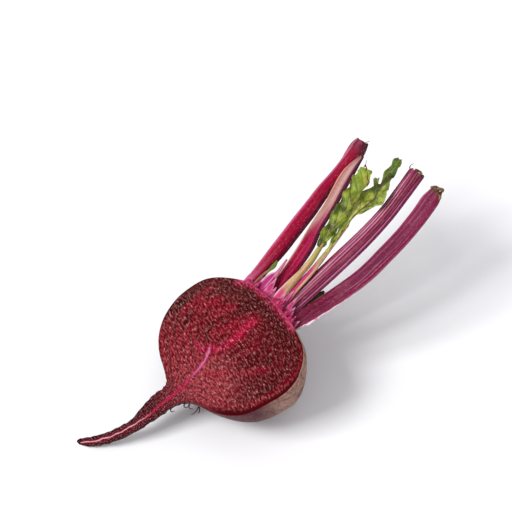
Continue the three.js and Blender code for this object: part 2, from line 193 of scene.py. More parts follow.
def with_ends(values):
    """A value for every ring point, of shape (rings, around, ...), and one for each end's middle,
    which is the mean of its ring."""
    flat = values.reshape(-1, *values.shape[2:])
    return np.concatenate([flat, values[[0, -1]].mean(axis=1)])


def closed_rings(rings):
    """The points, quads and triangles of a closed skin over rings, of shape (rings, around, 3)."""
    return with_ends(rings), *ring_faces(*rings.shape[:2])


def dress(piece, tint, grain, *materials):
    """Notes the painted tint and the grain on every point, and gives the piece its materials."""
    note(piece, "tint", tint, "FLOAT_COLOR")
    note(piece, "grain", grain, "FLOAT_VECTOR")
    for material in materials:
        piece.data.materials.append(material)


def hand_over(piece, slot, *nodes):
    """Lets the piece ride on the root body and stand for its nodes. The slot is not used."""
    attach(piece, "root")
    if nodes:
        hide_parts(*nodes)
    size = np.array(piece.dimensions) / MM
    print(f"{piece.name}: {len(piece.data.polygons)} faces, {np.round(size, 1)} mm")


print("two rings of three points need", len(ring_faces(2, 3)[0]), "quads")

# %% Colours
def paint(code):
    """A hex colour as linear red, green and blue, by the sRGB curve."""
    value = np.array([int(code[i:i + 2], 16) for i in (0, 2, 4)]) / 255
    return np.where(value <= 0.04045, value / 12.92, ((value + 0.055) / 1.055) ** 2.4)


def brush(under, code, cover):
    """Lays a colour over others: under + (colour - under) times cover, held from 0 to 1."""
    return under + (paint(code) - under) * np.clip(cover, 0, 1)[..., None]


def layers(tint, strokes):
    """Brushes one colour after another over a tint. A stroke is a colour and its cover."""
    for code, cover in strokes:
        tint = brush(tint, code, cover)
    return tint


def plain(shape, code):
    """One colour everywhere on a grid of the shape."""
    return np.broadcast_to(paint(code), (*shape, 3)).copy()


print("beet red in linear light:", np.round(paint("9a1f3c"), 3))

# %% [markdown]
# ## Helpers for materials
#
# A Blender material is a graph of nodes. Written out one call at a time it is long, so a small
# helper adds a node, sets it up and plugs in what it reads. Effects that several materials share
# are node groups: each takes a place on the plant and gives back one number.

# %% Adding nodes
def add_node(tree, kind, inputs=(), **settings):
    """Adds a node. inputs pairs a socket's name or number with a value or another socket."""
    node = tree.nodes.new(kind)
    for setting, value in settings.items():
        setattr(node, setting, value)
    for socket, value in dict(inputs).items():
        if isinstance(value, bpy.types.NodeSocket):
            tree.links.new(value, node.inputs[socket])
        else:
            node.inputs[socket].default_value = value
    return node


def maths(tree, operation, first, second=0.0):
    """The result of a Math node on one or two numbers or sockets."""
    return add_node(tree, "ShaderNodeMath", {0: first, 1: second}, operation=operation).outputs[0]


def times(tree, first, second):
    """The product of two numbers or sockets."""
    return maths(tree, "MULTIPLY", first, second)


def remap(tree, value, low, high, to_low=0.0, to_high=1.0):
    """A value scaled from low..high to to_low..to_high, and held inside those limits."""
    return add_node(tree, "ShaderNodeMapRange",
                    {0: value, 1: low, 2: high, 3: to_low, 4: to_high}).outputs[0]


def read(tree, name, output="Fac"):
    """What is stored on the surface under that name."""
    return add_node(tree, "ShaderNodeAttribute", attribute_name=name).outputs[output]


def colour(code):
    """A hex colour as the four numbers that a colour socket holds."""
    return (*paint(code), 1.0)


def stain(tree, shader, strokes):
    """Mixes one colour after another over the painted tint. A stroke is a colour and the socket
    that says how much of it covers what is there. The last result is the surface's colour."""
    result = read(tree, "tint", "Color")
    for code, cover in strokes:
        result = add_node(tree, "ShaderNodeMix", {0: cover, 6: result, 7: colour(code)},
                          data_type="RGBA").outputs[2]
    tree.links.new(result, shader.inputs["Base Color"])


def group(name, sockets, result):
    """An empty node group with number or vector inputs and one number as its output. An input
    without a default value is a vector."""
    tree = bpy.data.node_groups.new(name, "ShaderNodeTree")
    for socket, default in sockets.items():
        vector = default is None
        kind = "NodeSocketVector" if vector else "NodeSocketFloat"
        made = tree.interface.new_socket(socket, in_out="INPUT", socket_type=kind)
        if not vector:
            made.default_value = default
    tree.interface.new_socket(result, in_out="OUTPUT", socket_type="NodeSocketFloat")
    return tree, tree.nodes.new("NodeGroupInput"), tree.nodes.new("NodeGroupOutput")


print("node helpers ready")

# %% The groups of nodes
def make_streaks():
    """Noise drawn out along the plant: the place times the fineness, and its third number divided
    by the length as well. A length below 1 draws the noise out across the plant instead."""
    tree, given, result = group(
        "Fibre streaks", {"Place": None, "Fineness": 2.0, "Length": 6.0, "Detail": 3.0}, "Streak")
    apart = add_node(tree, "ShaderNodeSeparateXYZ", {0: given.outputs["Place"]})
    fine = given.outputs["Fineness"]
    slow = maths(tree, "DIVIDE", fine, given.outputs["Length"])
    place = add_node(tree, "ShaderNodeCombineXYZ", {
        0: times(tree, apart.outputs[0], fine),
        1: times(tree, apart.outputs[1], fine),
        2: times(tree, apart.outputs[2], slow)})
    pattern = add_node(tree, "ShaderNodeTexNoise", {
        "Vector": place.outputs[0], "Scale": 1.0, "Detail": given.outputs["Detail"],
        "Roughness": 0.6})
    tree.links.new(pattern.outputs[0], result.inputs["Streak"])
    return tree


def make_specks():
    """Scattered spots: every cell of a Voronoi pattern has a middle point and a random number.
    A spot covers what lies near the middle, in the share of cells whose number is low enough."""
    tree, given, result = group(
        "Specks", {"Place": None, "Fineness": 1.0, "Size": 0.3, "Share": 0.5}, "Speck")
    cells = add_node(tree, "ShaderNodeTexVoronoi", {
        "Vector": given.outputs["Place"], "Scale": given.outputs["Fineness"]})
    near = maths(tree, "SUBTRACT", 1.0, maths(
        tree, "DIVIDE", cells.outputs["Distance"], given.outputs["Size"]))
    soft = remap(tree, near, 0.0, 0.5)
    number = add_node(tree, "ShaderNodeSeparateXYZ", {0: cells.outputs["Color"]}).outputs[0]
    chosen = maths(tree, "LESS_THAN", number, given.outputs["Share"])
    tree.links.new(times(tree, soft, chosen), result.inputs["Speck"])
    return tree


STREAKS = make_streaks()
SPECKS = make_specks()


def shared(tree, node_group, **inputs):
    """Places a shared node group in a material with its own values, and gives its result."""
    named = {name.capitalize(): value for name, value in inputs.items()}
    return add_node(tree, "ShaderNodeGroup", named, node_tree=node_group).outputs[0]


print("groups:", [made.name for made in bpy.data.node_groups])

# %% A bare material
def new_material(name, roughness, gloss):
    """A material with its Principled BSDF, and constants set straight on the sockets."""
    material = bpy.data.materials.new(name)
    material.use_nodes = True
    shader = material.node_tree.nodes["Principled BSDF"]
    shader.inputs["Roughness"].default_value = roughness
    shader.inputs["Specular IOR Level"].default_value = gloss
    return material, material.node_tree, shader


def raise_by(tree, shader, height, depth):
    """Bumps the surface by a height from 0 to 1, where 1 stands out by the depth in mm."""
    bump = add_node(tree, "ShaderNodeBump", {"Height": height, "Distance": depth * MM})
    tree.links.new(bump.outputs[0], shader.inputs["Normal"])


print("a bump of 0.2 mm is", 0.2 * MM, "m")

# %% [markdown]
# ## The cut flesh
#
# Cut beetroot is wet and finely grained: short wavy ridges of torn cells run across the root,
# with dark pits between them. A ridge lies where drawn-out noise is high, and a pit where it is
# low. The ridges are paler, wetter and raised. The broad colours are painted on the points of the
# mesh, in the attribute "tint". The finest grain is smaller than the mesh can hold, so it comes
# from noise in the material. It reads the attribute "grain", a place in millimetres whose third
# number runs along the root, so the grain follows the root as it narrows into the taproot.
# "Rawness" fades the grain out on the smooth rim.

# %% The flesh material
def make_flesh():
    """The tint, with dark pits, pale ridges, and painted glints where a ridge meets a second noise.
    """
    material, tree, shader = new_material("cut flesh", roughness=0.26, gloss=0.02)
    place = read(tree, "grain", "Vector")
    raw = read(tree, "rawness")
    torn = shared(tree, STREAKS, place=place, fineness=0.46, length=0.42, detail=2.6)
    spots = shared(tree, STREAKS, place=place, fineness=0.8, length=0.7, detail=1.4)
    ridge = times(tree, remap(tree, torn, 0.48, 0.64), raw)
    pits = times(tree, remap(tree, torn, 0.54, 0.38), raw)
    painted_glint = times(tree, ridge, remap(tree, spots, 0.56, 0.68))
    # The last colour, pale pink, is a painted highlight: glints on the wet ridges.
    stain(tree, shader, [("20070a", times(tree, pits, 0.6)),
                         ("8e5654", times(tree, ridge, 0.42)),
                         ("e0b0aa", times(tree, painted_glint, 0.5))])
    tree.links.new(times(tree, ridge, 0.12), shader.inputs["Specular IOR Level"])
    raise_by(tree, shader, maths(tree, "SUBTRACT", ridge, pits), 0.22)
    return material


FLESH = make_flesh()
print("made", FLESH.name)

# %% [markdown]
# ## The skin of the root
#
# The skin is thin, dull and maroon. Where it rubbed against soil it is dusty tan, and it has dark
# pits and fine cracks that run round the root. The dusty patches are painted on the points. The
# mottling, the pits and the cracks come from noise in the material.

# %% The skin material
def make_skin():
    """The tint, mottled by noise, with dark pits and cracks that run round the root."""
    material, tree, shader = new_material("root skin", roughness=0.5, gloss=0.1)
    place = read(tree, "grain", "Vector")
    mottle = shared(tree, STREAKS, place=place, fineness=0.5, length=0.6, detail=5.0)
    cracks = shared(tree, STREAKS, place=place, fineness=0.55, length=0.22, detail=4.0)
    crack = remap(tree, maths(tree, "ABSOLUTE", maths(tree, "SUBTRACT", cracks, 0.5)), 0.022, 0.0)
    pits = shared(tree, SPECKS, place=place, fineness=0.42, size=0.26, share=0.4)
    stain(tree, shader, [("2e0e14", remap(tree, mottle, 0.3, 0.72, 0.55, 0.0)),
                         ("2a1414", times(tree, crack, 0.35)),
                         ("241012", times(tree, pits, 0.6))])
    tree.links.new(remap(tree, mottle, 0.3, 0.7, 0.6, 0.42), shader.inputs["Roughness"])
    dents = maths(tree, "ADD", times(tree, crack, 0.5), pits)
    raise_by(tree, shader, maths(tree, "SUBTRACT", mottle, dents), 0.16)
    return material


SKIN = make_skin()
print("made", SKIN.name)

# %% [markdown]
# ## The skin of the stalks
#
# Stalks, petioles and scraps have one kind of skin: thin and full of straight fibres, shiny where
# it is fresh and dull where it has dried. The material draws long pale and dark lines and short
# freckles over the painted tint, and raises them a little.

# %% The stalk material
def make_stalk_skin(name, roughness, lines, freckles):
    """The tint with long fibres over it, and short pale and dark freckles between them."""
    material, tree, shader = new_material(name, roughness=roughness, gloss=0.07)
    place = read(tree, "grain", "Vector")
    fibres = shared(tree, STREAKS, place=place, fineness=1.5, length=26.0, detail=3.0)
    flecks = shared(tree, STREAKS, place=place, fineness=2.6, length=4.0, detail=2.0)
    stain(tree, shader, [("3c0a1c", remap(tree, fibres, 0.5, 0.3, 0.0, lines)),
                         ("e2a0a6", remap(tree, fibres, 0.57, 0.72, 0.0, lines * 0.7)),
                         ("dc98a8", remap(tree, flecks, 0.58, 0.72, 0.0, freckles * 0.6)),
                         ("461026", remap(tree, flecks, 0.44, 0.3, 0.0, freckles))])
    raise_by(tree, shader, maths(tree, "ADD", fibres, times(tree, flecks, 0.35)), 0.22)
    return material


STALK_SKIN = make_stalk_skin("stalk skin", roughness=0.33, lines=0.42, freckles=0.4)
SMOOTH_SKIN = make_stalk_skin("smooth stalk skin", roughness=0.33, lines=0.16, freckles=0.4)
DRY_SKIN = make_stalk_skin("dry scrap skin", roughness=0.6, lines=0.3, freckles=0.3)
print("made", STALK_SKIN.name, SMOOTH_SKIN.name, "and", DRY_SKIN.name)

# %% [markdown]
# ## The leaf surface
#
# A young beet leaf is waxy and shiny, with a fine net of cells between its veins. The veins and
# the red margin are painted on the points, because they follow the blade. The cells are bumps in
# the material.

# %% The leaf material
def make_leaf_surface():
    """The tint with lighter and darker cells over it, raised like small cushions."""
    material, tree, shader = new_material("young leaf", roughness=0.32, gloss=0.17)
    place = read(tree, "grain", "Vector")
    cells = shared(tree, STREAKS, place=place, fineness=0.6, length=1.3, detail=3.0)
    stain(tree, shader, [("2c4210", remap(tree, cells, 0.46, 0.3, 0.0, 0.45)),
                         ("c0cc70", remap(tree, cells, 0.55, 0.75, 0.0, 0.25))])
    raise_by(tree, shader, cells, 0.35)
    return material


LEAF_SURFACE = make_leaf_surface()
print("made", LEAF_SURFACE.name)

# %% [markdown]
# ## The root
#
# The root is one closed skin. Every ring starts at the right edge of the cut, runs round the back
# to the left edge, and comes back across the cut face. The table gives the two edges and the
# depth behind them, from the taproot's tip to the crown. On a grid this fine the wrinkles of the
# taproot, the swellings of the back and the slight waves of the cut are real shapes.

# %% The root's table
RIBS = [  # left edge x, y; right edge x, y; depth of the flesh; fullness of the back
    [-20.1, -89.6, -19.5, -90.2, 0.4, 0],
    [-19.4, -87.6, -16.9, -89.6, 1.5, 0],
    [-15.9, -82.9, -12.2, -86.0, 2.1, 0],
    [-13.5, -78.8, -9.1, -81.8, 2.5, 0],
    [-11.2, -74.1, -5.8, -76.3, 2.8, 0],
    [-9.1, -67.9, -3.0, -69.5, 3.1, 0],
    [-7.8, -62.6, -1.1, -63.8, 3.5, 0],
    [-8.9, -54.2, 0.6, -55.0, 4.6, 0],
    [-9.5, -47.8, 1.7, -47.4, 5.5, 0],
    [-8.7, -42.2, 2.9, -41.8, 6.5, 0],
    [-9.3, -38.3, 4.5, -38.0, 8.5, 0],
    [-12.0, -36.5, 7.0, -35.4, 11.5, 0.01],
    [-17.3, -34.3, 12.0, -32.8, 16.0, 0.02],
    [-22.7, -32.4, 17.1, -31.0, 20.5, 0.03],
    [-27.8, -29.8, 22.0, -28.5, 25.0, 0.04],
    [-33.1, -25.7, 27.5, -24.6, 29.5, 0.05],
    [-37.6, -19.8, 32.0, -19.7, 34.0, 0.06],
    [-40.1, -13.7, 34.9, -13.9, 37.4, 0.06],
    [-41.4, -6.6, 37.3, -6.2, 40.2, 0.05],
    [-40.7, 1.5, 39.0, 1.4, 42.0, 0.03],
    [-38.6, 8.6, 38.4, 8.8, 41.8, -0.02],
    [-34.5, 14.1, 35.9, 14.1, 38.0, -0.08],
    [-29.1, 18.6, 32.3, 18.8, 31.6, -0.15],
    [-24.3, 21.8, 27.5, 22.3, 25.4, -0.16],
    [-20.3, 24.0, 22.3, 24.0, 20.4, -0.13],
    [-17.4, 24.9, 18.0, 25.0, 16.6, -0.10],
    [-13.0, 25.6, 14.0, 25.8, 12.4, -0.06],
    [-8.0, 26.4, 9.0, 26.4, 8.0, 0],
    [-2.0, 26.8, 3.0, 26.8, 2.5, 0],
]
NECK_RIB = 10                                # ribs before this one belong to the taproot
TAPROOT_RINGS = 14                           # wrinkles round the taproot, up to the neck
ROOT_RINGS = 300
SKIN_COLUMNS = 100
FACE_COLUMNS = 150


def equal_stations(rows, count):
    """The places in a table where its edges have run equal lengths."""
    t = np.linspace(0, 1, 4001)
    edges = run(rows, t)[:, :4]
    steps = np.abs(np.diff(edges, axis=0)).max(axis=1)
    length = np.concatenate([[0], np.cumsum(steps)])
    return np.interp(np.linspace(0, length[-1], count), length, t)


STATIONS = equal_stations(RIBS, ROOT_RINGS)
print("the neck is ring", int(np.searchsorted(STATIONS, NECK_RIB / (len(RIBS) - 1))))

# %% The skin of the root
def skin_relief(t, angle, fullness):
    """Rings on the taproot, and slow swellings on the bulb, as a factor on the skin's radius."""
    along = t * (len(RIBS) - 1) / NECK_RIB
    on_taproot = 1 - smooth_step(0.85, 1.15, along)
    rings = np.sin(2 * np.pi * TAPROOT_RINGS * along + 1.3 * np.sin(2 * angle))
    swell = np.sin(3 * angle + 9 * t) + np.sin(5 * angle - 23 * t)
    return (1 + fullness * np.sin(2 * angle)**2 + 0.035 * on_taproot * rings
            + 0.016 * swell * np.sin(angle) * (1 - on_taproot))


def skin_points(t, angle):
    """Half an oval behind the cut: the middle of the two edges, plus half the cut's width times
    the cosine, and minus the depth times the sine, both times the relief."""
    table = run(RIBS, t)[:, None, :]
    left, right = table[..., 0:2], table[..., 2:4]
    middle, reach = (left + right) / 2, (right - left) / 2
    relief = skin_relief(t[:, None], angle, table[..., 5])
    points = np.empty((len(t), len(angle), 3))
    points[..., :2] = middle + reach * (np.cos(angle) * relief)[..., None]
    points[..., 2] = -table[..., 4] * np.sin(angle) * relief
    return points


BACK_ANGLES = np.linspace(0, np.pi, SKIN_COLUMNS)
BACK = skin_points(STATIONS, BACK_ANGLES)
print("the back reaches", round(float(BACK[..., 2].min()), 1), "mm behind the cut")

# %% The cut face
FACE_SHARES = np.linspace(-1, 1, FACE_COLUMNS + 2)[1:-1]


def between_edges(back, shares):
    """Points on straight lines from the last point of each ring to its first."""
    share = ((shares + 1) / 2)[:, None]
    return back[:, -1:, :] * (1 - share) + back[:, :1, :] * share


def distance_to_outline(points, outline):
    """The distance from every point to the nearest point of the outline, in the cut's plane. It
    is worked out in 24 parts, so that the table of distances stays small."""
    flat = points[..., :2].reshape(-1, 1, 2).astype(np.float32)
    edge = outline[None, :, :2].astype(np.float32)
    nearest = [np.sqrt(((chunk - edge)**2).sum(-1)).min(1) for chunk in np.array_split(flat, 24)]
    return np.concatenate(nearest).reshape(points.shape[:2])


FACE = between_edges(BACK, FACE_SHARES)
CROWN_LINE = between_edges(BACK[-1:], np.linspace(-1, 1, 12))[0]
OUTLINE = np.concatenate([BACK[::2, 0], BACK[::2, -1], CROWN_LINE])
INSET = distance_to_outline(FACE, OUTLINE)
print("deepest point of the face is", round(float(INSET.max()), 1), "mm from the edge")

# %% [markdown]
# ## The colours of the cut face
#
# A cut beet has growth rings that follow its outline, a bright vein up its middle, and a smooth
# dark rim under the skin. The rings are a sine of the distance to the outline. The veins are
# lines with a soft width. Each colour is brushed over the ones that are already there: first the
# flesh, then the veins, then the rim. In each list of strokes the later ones lie on top.

# %% Painting lines
def near_line(points, line):
    """The distance from every point to a line through a few corners, in the cut's plane: the
    least of its distances to the straight pieces between them."""
    flat = points[..., :2]
    nearest = np.full(flat.shape[:2], np.inf)
    for start, end in zip(np.array(line[:-1]), np.array(line[1:])):
        share = np.clip((flat - start) @ (end - start) / ((end - start) @ (end - start)), 0, 1)
        nearest = np.minimum(nearest, np.linalg.norm(flat - start - share[..., None]
                                                     * (end - start), axis=-1))
    return nearest


def soft_line(points, line, width):
    """1 on the line, falling smoothly to 0 at the width from it."""
    return 1 - smooth_step(0, 1, near_line(points, line) / width)


CORE_VEIN = [[-17.6, -88.7], [-13.3, -83.4], [-9.3, -76.6], [-6.4, -69.2], [-4.2, -61.3],
             [-2.8, -52.9], [-2.7, -46.6], [-1.9, -37.8], [-1.8, -31.6], [-2.7, -24.5],
             [-3.7, -17.7], [-5.4, -13.9], [-7.3, -11.2]]
BRIGHT_BAND = [[-7.3, -11.2], [-3.1, -8.1], [-1.8, -2.4], [-1.5, 2.5], [-2.2, 8.0], [-1.9, 12.8]]
SIDE_VEIN = [[-6.8, -13.0], [-10.0, -14.7], [-14.2, -14.5]]
RED_STREAKS = [[[-29, -4], [-24, 8]], [[-20, 1], [-15, 11]], [[14, -9], [22, 2]],
               [[-33, -10], [-31, 2]], [[2, -22], [10, -12]], [[-12, -4], [-8, 4]]]
# Painted shade: dark patches on the face near the crown.
PAINTED_CROWN_SHADE = [[[-11, 13], [-8, 16]], [[-1, 22], [3, 23]], [[11, 22], [14, 21]],
                [[-8, 22], [-6, 24]]]
print("the core vein has", len(CORE_VEIN), "corners")

# %% What the strokes share
RING_SPACING = 4.5                           # millimetres from one growth ring to the next


def wandering(points):
    """The points, each shifted by up to a third of a millimetre in each direction, so that a line
    drawn near them wanders."""
    shift = [noise(points / 1.8, 6), noise(points / 1.8, 7), noise(points / 7.0, seed=5)]
    return points + 0.35 * np.stack(shift, -1)


def growth_rings(points, inset):
    """1 in the middle of a bright ring, -1 in that of a dark one: the sine of the distance to the
    outline, shifted here and there by noise."""
    return np.sin(2 * np.pi * inset / RING_SPACING + 3.5 * noise(points / 7.0, seed=5))


def rim_width(points):
    """How wide the smooth dark rim is: 1.2 mm, and up to 3.4 mm low on the right."""
    x, y = points[..., 0], points[..., 1]
    return 1.2 + 2.2 * smooth_step(0, 26, x) * (1 - smooth_step(4, 18, y))


print("growth rings from the outline to the middle:", int(INSET.max() / RING_SPACING))

# %% The flesh's tint
def paint_flesh(points, inset):
    """Crimson, lighter towards the taproot and darker towards the crown and the right, with bright
    and dark rings, blotches, streaks, a dull brown left side, and patches of painted shade near the
    crown."""
    blotch = rough_noise(points / 5.0, seed=3)
    ripple = noise(points / 7.0, seed=5)
    wander = wandering(points)
    ring = growth_rings(points, inset)
    x, y = points[..., 0], points[..., 1]
    ringed = 0.22 + 0.26 * smooth_step(0, -14, y + 0.3 * x)
    dull = (1 - smooth_step(3, 15, inset)) * (1 - smooth_step(-4, 12, x))
    fan = smooth_step(0.1, 0.55, noise(points * [0.4, 0.05, 1], 12))
    return layers(plain(inset.shape, "6c0e18"), [
        ("4a1016", smooth_step(-0.2, 0.6, blotch) * 0.75),
        ("c03c4a", smooth_step(-4, -22, y) * 0.6),
        ("86141f", smooth_step(-14, -30, x) * 0.4),
        ("a8122a", smooth_step(0.1, 0.9, ring) * ringed),
        ("481416", smooth_step(0.1, 0.9, -ring) * ringed),
        ("cc5a62", smooth_step(0, -14, y) * smooth_step(-16, 0, x) * 0.32),
        ("4e2422", dull * smooth_step(-26, -8, y) * 0.9),
        ("a2122c", fan * smooth_step(-30, -12, y) * (1 - smooth_step(6, 18, y)) * 0.4),
        ("4c080e", smooth_step(2, 20, x + 0.4 * y + 5 * ripple) * 0.6),
        *[("ac1034", soft_line(wander, line, 3.2) * 0.5) for line in RED_STREAKS],
        # painted shade near the crown
        *[("3a0a0c", soft_line(wander, line, 6.0) * 0.75) for line in PAINTED_CROWN_SHADE],
        ("500c10", smooth_step(10, 22, y) * 0.65)])


print("the flesh before its strokes:", np.round(paint("6c0e18"), 3))

# %% The veins' tint
def paint_veins(tint, points):
    """The bright band up the middle with its side vein, the dark fibrous taproot, and the core
    vein, which is pale where it runs down the taproot."""
    wander, y = wandering(points), points[..., 1]
    root = smooth_step(-38, -52, y)
    uneven = 0.4 * noise(points / 2.2, seed=4) + 0.5 * noise(points / 0.9, seed=14)
    vein = near_line(wander, CORE_VEIN) * (1.2 + uneven + 0.8 * root)
    return layers(tint, [
        ("a40c2e", soft_line(wander, BRIGHT_BAND, 7.0) * 0.65),
        ("cc164c", soft_line(wander, BRIGHT_BAND, 2.8) * 0.68),
        ("dc2860", soft_line(wander, SIDE_VEIN, 1.6) * 0.85),
        ("54222a", smooth_step(-28, -42, y) * 0.5),
        ("3c0a14", root * 0.75),
        ("6e1026", smooth_step(0.1, 0.6, noise(points * [1.1, 0.2, 1], 9)) * root * 0.6),
        ("88102e", (1 - smooth_step(0.8, 3.2, vein)) * 0.6),
        ("b8204e", 1 - smooth_step(0.35, 1.3, vein)),
        ("e07cae", (1 - smooth_step(0.2, 1.2, vein)) * smooth_step(-32, -18, y) * 0.8),
        ("f4ccd6", (1 - smooth_step(0.1, 0.8, vein)) * smooth_step(-52, -62, y) * 0.95)])


print("the core vein at its own corners:", soft_line(np.array([CORE_VEIN]), CORE_VEIN, 1)[0, :3])

# %% The rim's tint, and the whole face
def paint_rim(tint, points, inset):
    """The smooth dark rim under the skin, strongest on the right and on the taproot. Among the
    stalks the rim is the crown's pink instead, with pale pink flecks of painted glints."""
    blotch = rough_noise(points / 5.0, seed=3)
    ripple = noise(points / 7.0, seed=5)
    fleck = noise(points / 0.9, seed=8)
    x, y = points[..., 0], points[..., 1]
    root = smooth_step(-38, -52, y)
    side = 0.25 + 0.75 * smooth_step(0, 26, x)
    rim = (inset + 0.5 * ripple) / rim_width(points)
    among = smooth_step(-27, -23, x) * (1 - smooth_step(15, 19, x)) * smooth_step(14, 19, y)
    crown = among * (1 - smooth_step(0.5, 1.6, inset + 0.5 * blotch))
    return layers(tint, [
        ("a01228", (1 - smooth_step(0.2, 0.6, np.abs(rim - 1.2))) * side * 0.4),
        ("40060c", (1 - smooth_step(0.6, 1.1, rim)) * side),
        ("260810", (1 - smooth_step(0.4, 1.5, inset + 0.4 * fleck)) * root * 0.9),
        ("a82046", among * (1 - smooth_step(1, 4.5, inset + 1.2 * blotch)) * 0.8),
        # Pale pink flecks on the crown's rim: painted glints.
        ("c86484", among * (1 - smooth_step(1, 5, inset)) * smooth_step(0.35, 0.6, fleck)),
        ("c8406e", crown * 0.85),
        ("3a060c", (1 - smooth_step(0.2, 0.7, inset)) * (1 - crown) * side * 0.7)])


def face_rawness(points, inset):
    """How grainy the flesh is: more towards the taproot, less on the core vein, and not at all on
    the rim at the right."""
    vein = soft_line(points, CORE_VEIN, 2.0)
    side = smooth_step(0, 26, points[..., 0])
    right = 1 - smooth_step(0.4, 1.1, inset / rim_width(points))
    rim = right * side + (1 - smooth_step(0, 0.6, inset)) * (1 - side)
    return (1 - rim) * (1 - 0.45 * vein) * (1 + 0.35 * smooth_step(6, -10, points[..., 1]))


FACE_TINT = paint_rim(paint_veins(paint_flesh(FACE, INSET), FACE), FACE, INSET)
RAWNESS = face_rawness(FACE, INSET)
print("mean tint of the face:", np.round(FACE_TINT.mean(axis=(0, 1)), 3))

# %% [markdown]
# ## The colours of the skin
#
# The skin is maroon, with dusty tan on the side that lay against the soil. That side is given by
# the angle round the back: 0 at the right edge, 180 degrees at the left one. Each colour is
# brushed over the ones before it, as on the face.

# %% The skin's tint
def paint_skin(points, t, angles):
    """Maroon with blotches, dusty tan low on the right, brown rings on the taproot, painted shade
    along the cut's edge below the crown, and pink on the crown among the stalks."""
    blotch = rough_noise(points / 11.0, seed=11)
    fleck = rough_noise(points / 3.0, seed=13)
    degrees = np.degrees(angles)[None, :]
    taproot = 1 - smooth_step(-36, -26, points[..., 1])
    dusty = (1 - smooth_step(30, 90, degrees)) * (1 - taproot) * smooth_step(-20, 2, points[..., 1])
    edge = (1 - smooth_step(1, 9, np.minimum(degrees, 180 - degrees))) * (1 - dusty)
    rings = np.sin(2 * np.pi * TAPROOT_RINGS * t * (len(RIBS) - 1) / NECK_RIB)[:, None]
    x, y, z = points[..., 0], points[..., 1], points[..., 2]
    x, y, z = x + 4 * blotch, y + 3 * fleck, z + 2.5 * blotch + 1.5 * fleck
    among = smooth_step(-28, -21, x) * (1 - smooth_step(10, 21, x)) * smooth_step(17, 26, y)
    return layers(plain(points.shape[:2], "5c202b"), [
        ("6e3434", smooth_step(-0.1, 0.6, blotch) * 0.6),
        ("b68c7a", dusty * 1.1 + 0.6 * blotch - 0.15),
        ("5e262e", smooth_step(0.15, 0.4, fleck) * 0.7),
        ("8e5f54", smooth_step(0.2, 0.5, -fleck) * (0.2 + 0.4 * dusty)),
        ("4b262c", taproot * 0.8),
        ("7a5a50", taproot * smooth_step(0.2, 1, rings) * 0.5),
        # Painted shade: darker skin along the cut's edge, below the crown.
        ("5a2a2e", edge * (1 - smooth_step(16, 22, points[..., 1])) * 0.7),
        ("c24266", among * smooth_step(-17, -9, z) * 0.85)])


SKIN_TINT = paint_skin(BACK, STATIONS, BACK_ANGLES)
print("mean tint of the skin:", np.round(SKIN_TINT.mean(axis=(0, 1)), 3))

# %% [markdown]
# ## The root as one mesh
#
# The cut was made by hand, so the face is not quite flat: it dips a little where the flesh has
# dried between the rings, and the blade has left faint waves across it. Points of the skin move
# along the direction away from the root's middle line. All is one mesh with two materials, and
# the edge between them is marked sharp, so that the shading breaks there as it does at a cut.

# %% Real unevenness
def dried_face(points, inset):
    """Lowers the face by up to half a millimetre: rings, blade waves and noise, none at the rim."""
    away = smooth_step(0, 4.0, inset)
    rings = 0.04 * growth_rings(points, inset)
    waves = 0.05 * np.sin(points[..., 1] * 1.1 + points[..., 0] * 0.25)
    torn = 0.16 * rough_noise(points / 1.4, seed=21) + 0.10 * noise(points / 0.8, seed=22)
    low = points.copy()
    low[..., 2] = away * (-0.14 + rings + waves + torn)
    return low


def rough_skin(points, angles):
    """Moves the skin outwards by noise, more on the taproot, and not at the cut's two edges."""
    held = np.sin(angles)[None, :] ** 0.5
    taproot = 1 - smooth_step(-40, -30, points[..., 1])
    middle = (points[:, :1] + points[:, -1:]) / 2
    outwards = unit(points - middle)
    lumps = 0.35 * noise(points / 7.0, seed=31) + 0.12 * rough_noise(points / 1.8, seed=32)
    folds = taproot * 0.35 * rough_noise(points * [0.35, 1.1, 0.35], seed=33)
    edges = taproot * 0.3 * noise(points / 1.3, seed=34)
    return points + outwards * (held * (lumps + folds) + edges)[..., None]


ROOT_POINTS = np.concatenate([rough_skin(BACK, BACK_ANGLES), dried_face(FACE, INSET)], axis=1)
print("the face is up to", round(float(-ROOT_POINTS[:, SKIN_COLUMNS:, 2].min()), 2), "mm deep")

# %% The grain's directions
WIDEST_HALF = 38                             # about half the bulb's width, in millimetres


def face_grain(points, shares):
    """Across: the place between the edges, times a width that shrinks slower than the root does.
    Along: the place along the root, slanted a little to one side. Both in millimetres."""
    half = np.abs(points[:, -1, 0] - points[:, 0, 0]) / 2
    width = np.sqrt(np.maximum(half, 1) * WIDEST_HALF)[:, None]
    slanted = points[..., 1] + 0.12 * points[..., 0]
    return np.stack([shares * width, 0 * slanted, slanted], axis=-1)


def skin_grain(points):
    """The place itself, turned so that its third number runs along the root."""
    return points[..., [0, 2, 1]]


GRAIN = np.concatenate([skin_grain(BACK), face_grain(FACE, FACE_SHARES)], axis=1)
print("grain of the first ring:", np.round(GRAIN[0, 0], 1))

# %% Making the root
def mark_corners(piece, around, columns):
    """Marks the edges that run along these columns of the grid as sharp."""
    mesh = piece.data
    ends = np.empty(2 * len(mesh.edges), np.int32)
    mesh.edges.foreach_get("vertices", ends)
    column = ends.reshape(-1, 2) % around
    sharp = (column[:, 0] == column[:, 1]) & np.isin(column[:, 0], columns)
    mesh.attributes.new("sharp_edge", "BOOLEAN", "EDGE").data.foreach_set("value", sharp)


